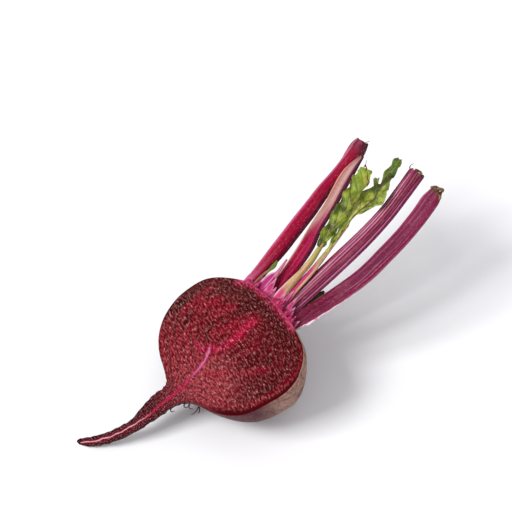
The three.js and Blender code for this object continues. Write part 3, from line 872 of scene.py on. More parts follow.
def make_root():
    """The closed skin with its notes for the materials. Faces between skin columns are skin."""
    rings, around = ROOT_POINTS.shape[:2]
    root = body("beetroot_half", *closed_rings(ROOT_POINTS))
    dress(root, with_ends(np.concatenate([SKIN_TINT, FACE_TINT], axis=1)), with_ends(GRAIN),
          FLESH, SKIN)
    bare = np.zeros((rings, SKIN_COLUMNS))
    note(root, "rawness", with_ends(np.concatenate([bare, RAWNESS], axis=1)))
    column = np.tile(np.arange(around), rings - 1)
    is_skin = np.concatenate([column < SKIN_COLUMNS - 1, np.ones(2 * around, bool)])
    root.data.polygons.foreach_set("material_index", is_skin.astype(np.int32))
    mark_corners(root, around, [0, SKIN_COLUMNS - 1])
    hand_over(root, "beet_flesh", "root")


make_root()

# %% [markdown]
# ## Stalks
#
# A beet stalk is a juicy rod with ribs, wider than it is thick. Each one is a section carried
# along a measured line: the table gives the line's points, half the width, half the thickness,
# and how far the face is turned. The end is torn: the rim stands up and the pith has shrunk back.
# The rest of a stalk's shape is a few numbers: how many ribs its face has and how many fibres it
# has all round, how high both stand and how deep the channel is, as shares of the radius, and in
# millimetres how deep the end's hollow is and how far its tears stand out.

# %% Carrying a section along a line
STALK_RINGS = 200
STALK_SIDES = 112


def line_frames(rows, t):
    """The middle line at t and three directions: along it, across the face and out of the face.
    The face starts as z and is turned about the line by the table's angle (Rodrigues' formula)."""
    table = run(rows, t)
    middle, turn = table[:, :3], np.radians(table[:, 5])[:, None]
    along = unit(np.gradient(middle, axis=0))
    up = np.array([0.0, 0.0, 1.0])
    facing = (up * np.cos(turn) + np.cross(along, up) * np.sin(turn)
              + along * (along @ up)[:, None] * (1 - np.cos(turn)))
    across = unit(np.cross(along, facing))
    return middle, along, across, unit(np.cross(across, along)), table[:, 3], table[:, 4]


def section(angle, shape):
    """A circle with ribs, and a channel (or a swelling, if negative) down its face."""
    rib = 1 + shape["rib_depth"] * np.cos(2 * shape["ribs"] * angle)
    across = np.cos(angle) * rib
    dent = shape["channel"] * np.maximum(0, np.sin(angle)) * np.exp(-(across / 0.55)**2)
    return across, np.sin(angle) * rib - dent


def place(frames, across, out, ahead):
    """Points from shares of the half width and half thickness, and millimetres ahead."""
    middle, along, right, face, width, thickness = [part[:, None] for part in frames]
    return (middle + right * (across * width)[..., None] + face * (out * thickness)[..., None]
            + along * ahead[..., None])


print("an upright line faces", np.round(line_frames([[0, y, 0, 1, 1, 0] for y in range(3)],
                                                    np.array([0.0, 0.5, 1.0]))[3][0], 1))

# %% The stalk's rings
END_PROFILE = [  # size of the ring, share of the hollow's depth, share of the tears' height
    [1.0, 0.0, 1.0], [0.95, 0.02, 1.1], [0.88, 0.2, 0.8], [0.72, 0.6, 0.4], [0.36, 1.0, 0.1],
    [0.14, 0.8, 0.0], [0.02, 0.75, 0.0],
]
END_RINGS = 20


def stalk_points(rows, shape, rings, sides, seed):
    """The side of the stalk, then the torn end. Fine fibres are ripples on the section, and the
    whole line sways a little, as nothing that grows is straight."""
    t = np.linspace(0, 1, rings)
    angle = np.linspace(0, 2 * np.pi, sides, endpoint=False)
    across, out = section(angle, shape)
    spot = np.stack(np.broadcast_arrays(np.cos(angle) * 2, np.sin(angle) * 2, t[:, None] * 9), -1)
    ripple = 1 + shape["fibre"] * np.cos(shape["fibres"] * angle + 1.5 * noise(spot, seed))
    ripple = ripple + 0.03 * rough_noise(spot * [1, 1, 2], seed + 5)
    sides_part = place(line_frames(rows, t), across * ripple, out * ripple, 0 * ripple)
    size, deep, torn = run(END_PROFILE, np.linspace(0.02, 1, END_RINGS)).T[..., None]
    tear = np.sin(3 * angle + 1) + 0.7 * np.sin(7 * angle) + 0.6 * noise(spot[-1] * 1.5, seed + 7)
    pith = 0.35 * noise(np.stack([np.cos(angle) * size, np.sin(angle) * size, 0 * size * angle],
                                 -1) * 4, seed + 9)
    last = [part[-1:] for part in line_frames(rows, t)]
    ahead = shape["ragged"] * torn * tear - shape["hollow"] * deep + pith * (1 - size)
    end_part = place(last, across * ripple[-1] * size, out * ripple[-1] * size, ahead)
    return np.concatenate([sides_part, end_part]), t, angle


print("a stalk has", (STALK_RINGS + END_RINGS) * STALK_SIDES, "points")

# %% [markdown]
# ## Colours along a stalk
#
# The stalk's face, its margins and its ribs have their own colours. Some bands are painted light
# and shade instead: a paler side towards the lamp, and a darker side and back away from it. A
# band is one brush stroke: a colour, the angle round the stalk where it lies (0 is the right
# margin, 90 the middle of the face, 180 the left margin), its half width in degrees, where it
# starts and ends along the stalk, and how much it covers.

# %% Painting bands
def paint_bands(base, bands, t, angle, seed, end_rings=END_RINGS):
    """Lays each band over the base, with edges that wander by noise."""
    degrees = np.degrees(angle)
    spot = np.stack(np.broadcast_arrays(np.cos(angle), np.sin(angle), t[:, None] * 7), -1)
    wander = noise(spot, seed)
    tint = plain(wander.shape, base)
    for code, middle, width, start, end, cover in bands:
        away = np.abs((degrees - middle + 180) % 360 - 180) + min(7, 0.5 * width) * wander
        inside = 1 - smooth_step(0.6, 1.3, away / width)
        reach = smooth_step(start - 0.07, start + 0.07, t[:, None] + 0.05 * wander)
        reach = reach * (1 - smooth_step(end - 0.07, end + 0.07, t[:, None] + 0.05 * wander))
        tint = brush(tint, code, inside * reach * cover)
    return np.concatenate([tint, np.repeat(tint[-1:], end_rings, axis=0)])


def paint_end(tint, rim, pith):
    """The torn end: a dark dried rim, and pith towards the middle."""
    share = np.linspace(0, 1, END_RINGS)[:, None]
    cut = brush(tint[-END_RINGS:], rim, 1 - smooth_step(0.15, 0.5, np.abs(share - 0.2)))
    tint[-END_RINGS:] = brush(cut, pith, smooth_step(0.25, 0.6, share))
    return tint


def paint_ribs(tint, shape, angle):
    """Paler rib tops and darker valleys, by the cosine that raises the ribs, for a shape that
    gives a contrast."""
    ridge = np.cos(2 * shape["ribs"] * angle)
    contrast = shape.get("contrast", 0.0)
    tint = brush(tint, shape.get("top", "ffffff"), smooth_step(0.2, 0.95, ridge) * contrast)
    return brush(tint, shape.get("valley", "000000"), smooth_step(0.1, 0.9, -ridge) * contrast)


def round_grain(points, angle, seed, radius=3.5):
    """Grain for a rod: the place on a circle of the radius, and millimetres along the rod."""
    middle = points.mean(axis=1)
    steps = np.linalg.norm(np.diff(middle, axis=0), axis=1)
    length = np.concatenate([[0], np.cumsum(steps)])[:, None] + 40.0 * seed
    return np.stack(np.broadcast_arrays(np.cos(angle) * radius, np.sin(angle) * radius, length),
                    axis=-1)


def rod(name, rows, shape, base, bands, ends, slot, material, nodes, seed,
        rings=STALK_RINGS, sides=STALK_SIDES):
    """A stalk or a scrap, with its colours, its grain and its place on the frame. ends are the
    colours of the torn end's rim and of its pith."""
    points, t, angle = stalk_points(rows, shape, rings, sides, seed)
    piece = body(name, *closed_rings(points))
    tint = paint_end(paint_ribs(paint_bands(base, bands, t, angle, seed), shape, angle), *ends)
    dress(piece, with_ends(tint), with_ends(round_grain(points, angle, seed)), material)
    hand_over(piece, slot, *nodes)


print("band 0 degrees is the right margin, 180 the left one")

# %% The smooth stalk
SMOOTH_LINE = [  # x, y, z, half width, half thickness, turn
    [-21.6, 20.5, -6.8, 3.0, 2.5, 0],
    [-22.8, 25.7, -6.4, 3.2, 2.7, 0],
    [-23.5, 32.8, -6.0, 3.5, 2.8, 5],
    [-24.8, 45.5, -5.0, 4.1, 2.8, 5],
    [-27.2, 57.8, -5.0, 4.2, 2.8, 5],
    [-29.9, 70.2, -5.6, 4.1, 2.8, 5],
    [-33.1, 82.0, -6.4, 3.7, 2.8, 5],
    [-34.7, 91.7, -7.0, 3.6, 2.8, 5],
    [-35.9, 99.9, -7.2, 3.9, 3.0, 5],
    [-36.9, 105.5, -7.0, 4.6, 3.1, 5],
    [-38.2, 109.8, -6.8, 4.7, 3.1, 0],
    [-39.1, 113.2, -6.8, 3.8, 2.6, 0],
]
# Painted light: the pale bands at 140 and 148 degrees are a highlight on the side towards the lamp.
# Painted shade: the dark bands at 6 and -40 degrees, and at 22 degrees on the end.
SMOOTH_BANDS = [
    ["b43464", 140, 32, -0.1, 0.93, 0.9], ["d07496", 148, 9, -0.1, 0.8, 0.6],
    ["8e0428", 84, 30, 0.08, 0.93, 0.85], ["56081f", 6, 34, -0.1, 1.1, 0.8],
    ["340a18", -40, 60, -0.1, 1.1, 0.8], ["c86490", 120, 60, -0.1, 0.16, 0.75],
    ["b06c88", 122, 8, 0.55, 0.9, 0.6], ["6c2638", 80, 90, 0.86, 1.1, 0.85],
    ["a0506c", 80, 10, 0.9, 1.1, 0.5], ["34141e", 150, 16, 0.9, 1.1, 0.9],
    ["cc8098", 116, 5, 0.84, 1.1, 0.6], ["44242a", 22, 30, 0.86, 1.1, 0.85],
]
rod("stalk_smooth_skin", SMOOTH_LINE,
    dict(ribs=3, rib_depth=0.05, channel=-0.15, fibres=34, fibre=0.008, hollow=0.9, ragged=0.35),
    "8e0c38", SMOOTH_BANDS, ("3a1a22", "8a5a58"), "stalk", SMOOTH_SKIN, ["stalk_smooth"], seed=41)

# %% The channelled stalk
CHANNELLED_LINE = [
    [-8.6, 20.5, -9.2, 2.5, 2.2, 0],
    [-10.3, 26.8, -8.8, 2.8, 2.3, 0],
    [-12.0, 33.9, -8.3, 3.1, 2.4, 0],
    [-13.1, 42.5, -7.6, 3.6, 2.5, 0],
    [-14.4, 50.0, -6.9, 4.0, 2.5, 0],
    [-16.2, 57.6, -6.1, 4.0, 2.5, 0],
    [-18.8, 65.0, -5.2, 3.7, 2.4, -5],
    [-20.5, 71.8, -4.2, 3.6, 2.3, -8],
    [-22.0, 79.0, -3.2, 3.6, 2.2, -10],
    [-24.2, 86.0, -2.3, 3.8, 2.1, -12],
    [-26.3, 92.4, -1.6, 3.9, 2.0, -12],
    [-27.8, 98.0, -1.3, 3.5, 1.8, -12],
    [-28.8, 103.0, -1.5, 2.4, 1.5, -12],
    [-29.4, 107.0, -1.9, 1.1, 1.0, -10],
]
# Painted shade: the dark bands at 16, 36, -16 and -60 degrees, on the right flank and the back.
CHANNELLED_BANDS = [
    ["b48a80", 100, 58, 0.46, 1.1, 0.92], ["d8b498", 150, 20, 0.06, 0.97, 0.95],
    ["a8452c", 124, 10, 0.6, 0.9, 0.6], ["c89c9c", 84, 14, 0.6, 0.95, 0.6],
    ["a0305c", 64, 24, 0.3, 0.56, 0.7], ["9a6a74", 48, 12, 0.7, 1.0, 0.8],
    ["4a1430", 16, 24, 0.3, 1.1, 0.85], ["4e1a30", 36, 14, 0.62, 1.1, 0.75],
    ["3c0a1a", -16, 30, -0.1, 1.1, 0.9],
    ["dc94a8", 156, 12, -0.1, 0.3, 0.7], ["6a4238", 90, 60, 0.92, 1.1, 0.5],
    ["9c0838", 92, 44, -0.1, 0.46, 0.7], ["2c0a14", -60, 50, -0.1, 1.1, 0.8],
]
rod("stalk_channelled_skin", CHANNELLED_LINE,
    dict(ribs=3, rib_depth=0.05, channel=0.6, fibres=30, fibre=0.01, hollow=1.0, ragged=0.4),
    "920c3a", CHANNELLED_BANDS, ("3a2422", "7a5a4a"), "stalk", SMOOTH_SKIN, ["stalk_channelled"],
    seed=43)

# %% The ribbed stalk
RIBBED_LINE = [
    [2.5, 20.5, -10.6, 3.3, 2.5, 0],
    [1.2, 28.6, -10.3, 3.7, 2.5, 0],
    [1.2, 38.4, -9.7, 4.2, 2.6, 0],
    [1.5, 53.7, -9.0, 4.6, 2.8, 0],
    [1.4, 67.8, -9.0, 4.6, 2.8, 0],
    [1.1, 81.7, -9.0, 4.4, 2.9, 0],
    [-0.1, 94.9, -9.0, 4.2, 2.9, 0],
    [-2.4, 107.2, -9.0, 4.1, 3.0, 0],
    [-5.4, 120.5, -9.0, 4.2, 3.1, 0],
]
# Painted shadow: the dark band at 160 degrees on the left flank, under the leaf. Painted shade: the
# dark band at -70 degrees on the back.
RIBBED_BANDS = [
    ["3c0820", 160, 16, 0.3, 1.1, 0.8],
    ["a8786a", 62, 6, 0.4, 1.0, 0.6], ["dc98b0", 126, 4, 0.35, 0.9, 0.85],
    ["9a1840", 142, 26, -0.1, 0.52, 0.85],
    ["ecb0c2", 104, 3.5, 0.0, 0.95, 0.9], ["d896b0", 84, 3, 0.05, 0.9, 0.85],
    ["d490ac", 116, 3, 0.1, 0.6, 0.75],
    ["4c0826", 42, 8, 0.2, 0.95, 0.7], ["d88cac", 30, 4, 0.0, 0.9, 0.7],
    ["b05080", 10, 12, -0.1, 1.0, 0.6], ["cc6494", 90, 50, -0.1, 0.16, 0.65],
    ["d8a4a8", 96, 5, -0.1, 0.4, 0.6], ["c08878", 68, 7, -0.1, 0.35, 0.5],
    ["300a18", -70, 60, -0.1, 1.1, 0.8], ["5e4828", 30, 50, 0.965, 1.1, 0.85],
]
rod("stalk_ribbed_skin", RIBBED_LINE,
    dict(ribs=8, rib_depth=0.07, channel=-0.1, fibres=56, fibre=0.012, hollow=1.2, ragged=0.35,
         top="963866", valley="4e0a28", contrast=0.65),
    "821640", RIBBED_BANDS, ("4a3024", "9a7a5a"), "stalk", STALK_SKIN, ["stalk_ribbed"], seed=47)

# %% The broad stalk
BROAD_LINE = [
    [9.2, 18.7, -8.0, 2.4, 2.2, 0],
    [10.2, 25.5, -7.4, 2.9, 2.3, -5],
    [11.9, 33.9, -7.0, 4.3, 2.4, -10],
    [15.5, 50.8, -6.8, 4.8, 2.5, -10],
    [17.5, 66.7, -7.0, 4.6, 2.6, -5],
    [17.1, 80.4, -7.0, 4.5, 2.7, 0],
    [16.2, 93.6, -7.0, 4.4, 2.8, 5],
    [14.2, 106.1, -7.0, 4.4, 2.8, 5],
    [12.3, 114.0, -7.0, 4.5, 2.9, 5],
    [11.5, 117.3, -7.0, 4.0, 2.6, 5],
    [10.6, 120.4, -7.0, 3.0, 2.1, 5],
]
# Painted shade: the dark band at -70 degrees on the back.
BROAD_BANDS = [
    ["7c324e", 85, 46, 0.1, 1.1, 0.85], ["621c3a", 95, 60, 0.3, 0.62, 0.55],
    ["a04068", 146, 12, 0.0, 1.0, 0.7],
    ["8c1c46", 28, 14, -0.1, 1.0, 0.6], ["a85076", 6, 9, -0.1, 1.0, 0.75],
    ["e0b4c4", 60, 2, 0.08, 0.4, 0.4], ["e8c4d0", 24, 2.5, 0.03, 0.3, 0.5],
    ["a84c78", 112, 3, 0.2, 0.95, 0.6],
    ["d090ae", -16, 14, -0.1, 0.4, 0.8], ["480c22", -70, 50, -0.1, 1.1, 0.8],
    ["64082a", 90, 80, -0.1, 0.32, 0.92], ["54402a", 60, 110, 0.95, 1.1, 0.85],
]
rod("stalk_broad_skin", BROAD_LINE,
    dict(ribs=5, rib_depth=0.02, channel=0.38, fibres=44, fibre=0.01, hollow=1.2, ragged=0.4,
         top="80244a", valley="560c30", contrast=0.25),
    "7a123a", BROAD_BANDS, ("4a3a24", "8a7a4a"), "stalk", STALK_SKIN, ["stalk_broad"], seed=53)

# %% [markdown]
# ## Young leaves
#
# A young leaf is a petiole that runs on as the midrib, with half a blade on each side. The blade
# is a sheet on a grid: one parameter along the midrib, one from the left margin over the midrib
# to the right margin. Each half is folded up or down, drawn forward as its veins are, waved more
# towards the margin, and puffed up between its side veins. The sheet is given its thickness by
# moving each point both ways along its normal, thinner at the margin.

# %% The blade's sheet
BLADE_ROWS = 190
BLADE_COLUMNS = 57                           # odd, so that one column lies on the midrib


def blade_sheet(leaf, seed):
    """The middle sheet: midrib + spread times reach + along times reach times sweep + the wave,
    then puffs along the normal between side veins. Also gives t, side, and 0 to 1 on a vein."""
    t = np.linspace(0, 1, BLADE_ROWS)
    side = np.linspace(-1, 1, BLADE_COLUMNS)
    rows = [[*row, 0] for row in leaf["midrib"]]
    middle, along, across, out, left_width, right_width = line_frames(rows, t)
    left = side < 0
    fold = np.radians(np.where(left, leaf["fold_left"], leaf["fold_right"]))
    width = np.where(left, left_width[:, None], right_width[:, None])
    spot = np.stack(np.broadcast_arrays(t[:, None] * 16, side * 1.2, 0 * side), -1)
    ragged = 1 + 0.16 * rough_noise(spot * [1.5, 0.3, 1], seed) * np.abs(side)**3
    reach = np.abs(side) * width * ragged
    sweep = np.where(left, leaf["sweep_left"], leaf["sweep_right"])
    beat = 2 * np.pi * leaf["waves"] * t[:, None] + leaf["wave_phase"] + np.where(left, 0, 2)
    wave = leaf["wave_height"] * np.abs(side)**1.5 * np.sin(beat)
    wave = wave + 0.45 * np.abs(side)**2 * noise(spot * [2.2, 1, 1], seed + 1)
    spread = (across[:, None] * (np.cos(fold) * np.sign(side))[:, None]
              + out[:, None] * np.sin(fold)[:, None])
    sheet = (middle[:, None] + spread * reach[..., None]
             + along[:, None] * (reach * sweep)[..., None] + out[:, None] * wave[..., None])
    row = leaf["veins"] * t[:, None] - leaf["vein_slant"] * np.abs(side) + 0.5 * left
    away = np.abs((row + 0.25 * noise(spot * 0.4, seed + 2)) % 1 - 0.5) * 2
    vein = smooth_step(0.80, 0.97, away) * (1 - 0.6 * np.abs(side))
    puff = 0.24 * (1 - away**2) * np.sqrt(np.clip(np.abs(side) * 3, 0, 1)) - 0.2 * vein
    puff = puff + 0.14 * rough_noise(sheet / 2.2, seed + 3)
    return sheet + sheet_normals(sheet) * puff[..., None], t, side, vein


def sheet_normals(sheet):
    """The direction across the sheet: the cross product of its two directions."""
    return unit(np.cross(np.gradient(sheet, axis=1), np.gradient(sheet, axis=0)))


def thick_sheet(sheet, side, half=0.20):
    """Rings round the sheet: over its face, then back under it, half the thickness from the
    middle, and 0.3 of that at the margins."""
    rise = sheet_normals(sheet) * (half * (1 - 0.7 * side**4))[:, None]
    return np.concatenate([sheet + rise, (sheet - rise)[:, ::-1]], axis=1)


print("a blade has", 2 * BLADE_ROWS * BLADE_COLUMNS, "points")

# %% The colours of the blade
def paint_blade(leaf, sheet, t, side, vein, seed):
    """Green with yellower and darker clouds, dark side veins, painted shade and thin brown creases
    along the leaf's own lines, a coloured midrib, and touches of red on the margin."""
    cloud = rough_noise(sheet / 3.6, seed + 20)
    midrib = 1 - smooth_step(0.02, 0.08, np.abs(side))
    edge = smooth_step(0.93, 0.985, np.abs(side)) * smooth_step(0.1, 0.45, noise(sheet / 3, seed))
    return layers(plain(vein.shape, leaf["green"]), [
        (leaf["light"], smooth_step(-0.05, 0.45, cloud) * 0.9),
        (leaf["dark"], smooth_step(0.0, 0.45, -cloud) * 0.8),
        (leaf["tip"], smooth_step(*leaf["tip_reach"], t[:, None]) * 0.8),
        (leaf["vein"], vein * 0.5),
        # Painted shade: dark green along the given lines.
        *[("1e2c0a", soft_line(sheet, line, 2.8) * 0.85) for line in leaf["painted_shades"]],
        *[("4c2018", soft_line(sheet, line, 0.55) * 0.9) for line in leaf["creases"]],
        (leaf["midrib_colour"], midrib * (1 - smooth_step(0.8, 1, t[:, None])) * 0.9),
        ("7c1f34", edge * leaf["red_edge"])])


print("the blade's colours are ready")

# %% Making a leaf
PETIOLE_RINGS = 150
PETIOLE_SIDES = 40


def petiole_points(rows, seed):
    """A thin rod with faint fibres, sunk a little below the blade's midrib."""
    t = np.linspace(0, 1, PETIOLE_RINGS)
    angle = np.linspace(0, 2 * np.pi, PETIOLE_SIDES, endpoint=False)
    across, out = section(angle, dict(ribs=3, rib_depth=0.02, channel=0.2))
    spot = np.stack(np.broadcast_arrays(np.cos(angle), np.sin(angle), t[:, None] * 14), -1)
    ripple = 1 + 0.06 * rough_noise(spot, seed)
    sunk = np.array(rows, float) - [0, 0, 0.35, 0, 0, 0]
    return place(line_frames(sunk, t), across * ripple, out * ripple, 0 * ripple), t, angle


def make_leaf(name, leaf, node, seed):
    """One leaf: the petiole's closed rod and the blade's closed sheet in one mesh."""
    stem, stem_t, angle = petiole_points(leaf["petiole"], seed)
    sheet, t, side, vein = blade_sheet(leaf, seed)
    blade = thick_sheet(sheet, side)
    stem_points, stem_quads, stem_triangles = closed_rings(stem)
    blade_points, blade_quads, blade_triangles = closed_rings(blade)
    shift = len(stem_points)
    piece = body(name, np.concatenate([stem_points, blade_points]),
                 np.concatenate([stem_quads, blade_quads + shift]),
                 np.concatenate([stem_triangles, blade_triangles + shift]))
    face_tint = paint_blade(leaf, sheet, t, side, vein, seed)
    back_tint = brush(face_tint, leaf["light"], np.full(vein.shape, 0.35))
    blade_tint = np.concatenate([face_tint, back_tint[:, ::-1]], axis=1)
    stem_tint = paint_bands(leaf["base"], leaf["bands"], stem_t, angle, seed, end_rings=0)
    tint = np.concatenate([with_ends(stem_tint), with_ends(blade_tint)])
    stem_grain = round_grain(stem, angle, seed, radius=1.5)
    grain = np.concatenate([with_ends(stem_grain), with_ends(skin_grain(blade))])
    dress(piece, tint, grain, STALK_SKIN, LEAF_SURFACE)
    is_blade = np.zeros(len(piece.data.polygons), np.int32)
    is_blade[len(stem_quads):len(stem_quads) + len(blade_quads)] = 1
    is_blade[-len(blade_triangles):] = 1
    piece.data.polygons.foreach_set("material_index", is_blade)
    hand_over(piece, "young_leaf", node)


print("a petiole has", PETIOLE_RINGS * PETIOLE_SIDES, "points")

# %% The left leaf
LEFT_LEAF = dict(
    petiole=[  # x, y, z, half width, half thickness, turn
        [-3.6, 21.5, -5.0, 2.9, 1.0, 0],
        [-4.2, 28.2, -4.5, 3.3, 1.0, 0],
        [-4.9, 34.5, -3.9, 2.6, 1.0, 0],
        [-4.9, 41.0, -3.2, 2.2, 1.1, 0],
        [-5.1, 47.5, -2.5, 1.8, 1.1, 0],
        [-5.7, 54.0, -1.8, 1.6, 1.1, 0],
        [-7.1, 60.5, -1.0, 1.3, 1.0, 0],
        [-9.1, 70.8, 0.5, 0.8, 0.7, 0],
        [-10.0, 79.1, 1.5, 0.6, 0.6, 0],
    ],
    midrib=[  # x, y, z, width of the left half, width of the right half
        [-7.3, 60.8, -0.9, 1.2, 1.2],
        [-8.0, 65.2, 0.0, 3.4, 2.2],
        [-9.1, 70.8, 0.8, 3.6, 2.8],
        [-10.0, 79.1, 1.8, 5.2, 2.0],
        [-10.6, 86.8, 2.4, 6.4, 1.0],
        [-12.3, 94.4, 2.9, 7.0, 0.8],
        [-14.6, 100.4, 3.0, 6.2, 1.2],
        [-17.6, 104.2, 3.2, 4.4, 1.0],
    ],
    fold_left=16, fold_right=-28, sweep_left=0.25, sweep_right=0.25,
    wave_height=0.8, waves=5.5, wave_phase=0.4, veins=7, vein_slant=1.3,
    green="5a6a16", light="8a9a30", dark="2e380a", vein="42480e", midrib_colour="a8705c",
    tip="90a234", tip_reach=(0.62, 0.85), red_edge=0.3, base="907646",
    # lines of painted shade on the blade
    painted_shades=[[[-13.2, 78.0], [-15.5, 84.5]]],
    creases=[[[-19.2, 94.8], [-16.8, 91.1], [-11.8, 86.9]]],
    bands=[["d02c7c", 80, 80, -0.1, 0.26, 0.9], ["f4d4da", 150, 22, -0.1, 0.4, 0.95],
           ["d8a090", 60, 14, -0.1, 0.4, 0.7], ["c8a878", 110, 36, 0.28, 0.75, 0.8],
           ["9a4a50", 62, 10, 0.3, 0.7, 0.6], ["8a7238", 0, 44, 0.3, 0.9, 0.75],
           ["98a048", 90, 60, 0.6, 1.1, 0.6]],
)
make_leaf("young_leaf_left_grown", LEFT_LEAF, "young_leaf_left", seed=61)

# %% The right leaf
RIGHT_LEAF = dict(
    petiole=[
        [2.0, 21.5, -6.5, 1.7, 1.0, 0],
        [-0.1, 29.5, -5.7, 1.7, 1.0, 0],
        [-1.7, 39.0, -4.9, 1.8, 1.0, 0],
        [-2.1, 48.5, -4.0, 1.7, 1.1, 0],
        [-2.9, 56.7, -3.1, 1.4, 1.1, 0],
        [-3.9, 64.4, -2.4, 1.1, 0.9, 0],
        [-5.2, 71.5, -2.2, 0.9, 0.8, 0],
        [-6.6, 78.7, -1.9, 0.7, 0.7, 0],
    ],
    midrib=[
        [-3.4, 60.8, -2.4, 1.1, 0.8],
        [-4.0, 65.0, -2.2, 1.9, 0.7],
        [-5.0, 70.7, -1.9, 3.2, 0.7],
        [-6.4, 77.7, -1.6, 6.0, 0.6],
        [-7.1, 85.4, -1.2, 9.2, 0.8],
        [-6.1, 92.0, -0.7, 9.8, 4.0],
        [-5.9, 96.6, -0.2, 8.4, 4.8],
        [-7.7, 101.5, 0.3, 1.8, 3.8],
        [-9.4, 107.4, 0.6, 3.0, 2.6],
        [-10.5, 113.0, 0.8, 2.9, 2.5],
        [-11.8, 117.6, 1.0, 1.8, 1.6],
    ],
    fold_left=-17, fold_right=-8, sweep_left=1.1, sweep_right=0.7,
    wave_height=0.9, waves=7.5, wave_phase=1.9, veins=9, vein_slant=1.1,
    green="8e9a38", light="c4c66c", dark="364a14", vein="50501a", midrib_colour="5a2028",
    tip="3c5418", tip_reach=(0.66, 0.8), red_edge=0.8, base="a87862",
    # lines of painted shade where the tip curls over
    painted_shades=[[[-8.4, 101.5], [-8.2, 105.5], [-8.0, 109.5]], [[-11.0, 99.5], [-9.6, 103.0]]],
    creases=[[[-10.5, 90.5], [-8.6, 88.6]],
             [[-6.6, 80.0], [-7.1, 85.4], [-6.1, 92.0], [-5.9, 96.6], [-7.7, 101.5], [-9.4, 107.4],
              [-10.2, 111.5]]],
    bands=[["b81868", 115, 60, -0.1, 0.5, 0.9], ["d4b088", 34, 26, 0.26, 0.9, 0.9],
           ["cc2c70", 40, 40, -0.1, 0.26, 0.8], ["8a1440", -20, 40, -0.1, 0.8, 0.7],
           ["a8a058", 100, 60, 0.55, 1.1, 0.7], ["f0b8cc", 152, 18, -0.1, 0.3, 0.85]],
)
make_leaf("young_leaf_right_grown", RIGHT_LEAF, "young_leaf_right", seed=71)

# %% [markdown]
# ## Scraps on the crown
#
# Older leaves left scraps when they were pulled off: a torn pink sheath that narrows to a strip,
# and a withered sliver with a green tip. A small dark leaf stands deep between the stalks. All
# three are thin flat rods with a dry skin.

# %% The scraps
SCRAPS = {
    "sheath_stub": dict(
        rows=[
            [-12.2, 22.4, -4.4, 3.4, 0.9, 0],
            [-13.3, 27.0, -3.6, 3.8, 0.9, 0],
            [-13.9, 31.0, -3.2, 3.5, 0.8, 5],
            [-14.1, 34.6, -2.9, 2.4, 0.7, 10],
            [-14.1, 37.4, -2.7, 1.1, 0.6, 10],
            [-14.6, 41.0, -2.4, 0.8, 0.5, 10],
            [-15.6, 45.3, -2.2, 0.5, 0.4, 10],
        ],
        base="9a1660", rim="e0b0c0",
        bands=[["b43078", 120, 40, 0.05, 0.6, 0.7], ["c87c90", 90, 90, 0.55, 1.1, 0.8],
               ["5c0a34", 40, 30, -0.1, 0.6, 0.6], ["f0c8d8", 158, 18, 0.2, 0.95, 0.85],
               ["e0a4c0", 78, 6, 0.2, 0.7, 0.6]]),
    "withered_sliver": dict(
        rows=[
            [-17.8, 22.0, -2.4, 0.7, 0.5, 0],
            [-18.1, 27.4, -1.7, 0.6, 0.5, 0],
            [-17.8, 32.2, -1.2, 0.6, 0.5, 0],
            [-17.2, 35.8, -1.0, 0.7, 0.5, 10],
            [-17.2, 38.6, -1.0, 1.0, 0.5, 20],
            [-18.0, 41.4, -1.0, 0.5, 0.4, 20],
        ],
        base="966e50", rim="55641f",
        bands=[["5c7628", 90, 180, 0.55, 1.1, 0.9], ["a0304a", 60, 60, -0.1, 0.4, 0.5]]),
    "bud_leaf": dict(
        rows=[
            [2.6, 21.5, -14.8, 1.1, 0.8, 0],
            [2.9, 29.0, -14.2, 1.1, 0.8, 0],
            [3.4, 35.0, -14.0, 1.7, 0.7, 10],
            [4.2, 41.5, -13.9, 1.9, 0.7, 20],
            [5.2, 48.0, -13.8, 0.7, 0.5, 20],
        ],
        base="35431c", rim="232c14",
        bands=[["566a30", 90, 50, 0.2, 0.9, 0.7], ["6a1c30", 90, 90, -0.1, 0.25, 0.6]]),
}
for number, (node, scrap) in enumerate(SCRAPS.items()):
    rod(node + "_dried", scrap["rows"],
        dict(ribs=2, rib_depth=0.04, channel=0.2, fibres=12, fibre=0.04, hollow=0.2, ragged=0.3),
        scrap["base"], scrap["bands"], (scrap["rim"], scrap["rim"]), "dry_scrap", DRY_SKIN, [node],
        seed=81 + number, rings=90, sides=36)

# %% [markdown]
# ## Rootlets, shreds, crusts and a torn sheath
#
# Where the bulb narrows into the taproot a few hair-thin rootlets curl away from the skin. Between
# the stalks the crown keeps pink shreds of older leaf bases, and short flares of skin stand along
# the rim of the cut. The torn ends of the stalks have dried to brown crusts and single fibres, and
# the tip of the left leaf has a dried red margin. Along the broad stalk's right margin the old
# sheath has dried to a frilly pale strip. Each kind is one mesh of small rods, except the strip,
# which is a sheet carried along the stalk.

# %% Many small rods in one mesh
SMALL_ROD_RINGS = 40


def bundle(name, tables, around, tint_at, material):
    """A rod through every table, all in one mesh. Each table has rows like a stalk's. The colour
    is read at the place along the rod and at the angle round it."""
    t = np.linspace(0, 1, SMALL_ROD_RINGS)
    angle = np.linspace(0, 2 * np.pi, around, endpoint=False)
    across, out = np.broadcast_arrays(np.cos(angle), np.sin(angle))
    parts, tints, shift = [], [], 0
    for rows in tables:
        rings = place(line_frames(rows, t), across, out, 0 * t[:, None] * angle)
        rod_points, quads, triangles = closed_rings(rings)
        parts.append((rod_points, quads + shift, triangles + shift))
        tints.append(with_ends(tint_at(rings, t, angle)))
        shift += len(rod_points)
    points, quads, triangles = [np.concatenate(kind) for kind in zip(*parts)]
    piece = body(name, points, quads, triangles)
    dress(piece, np.concatenate(tints), skin_grain(points), material)
    hand_over(piece, "dry_scrap")


def one_tint(code):
    """A tint for a bundle that is one colour all over."""
    return lambda rings, t, angle: plain(rings.shape[:2], code)


print("a small rod has", SMALL_ROD_RINGS, "rings")

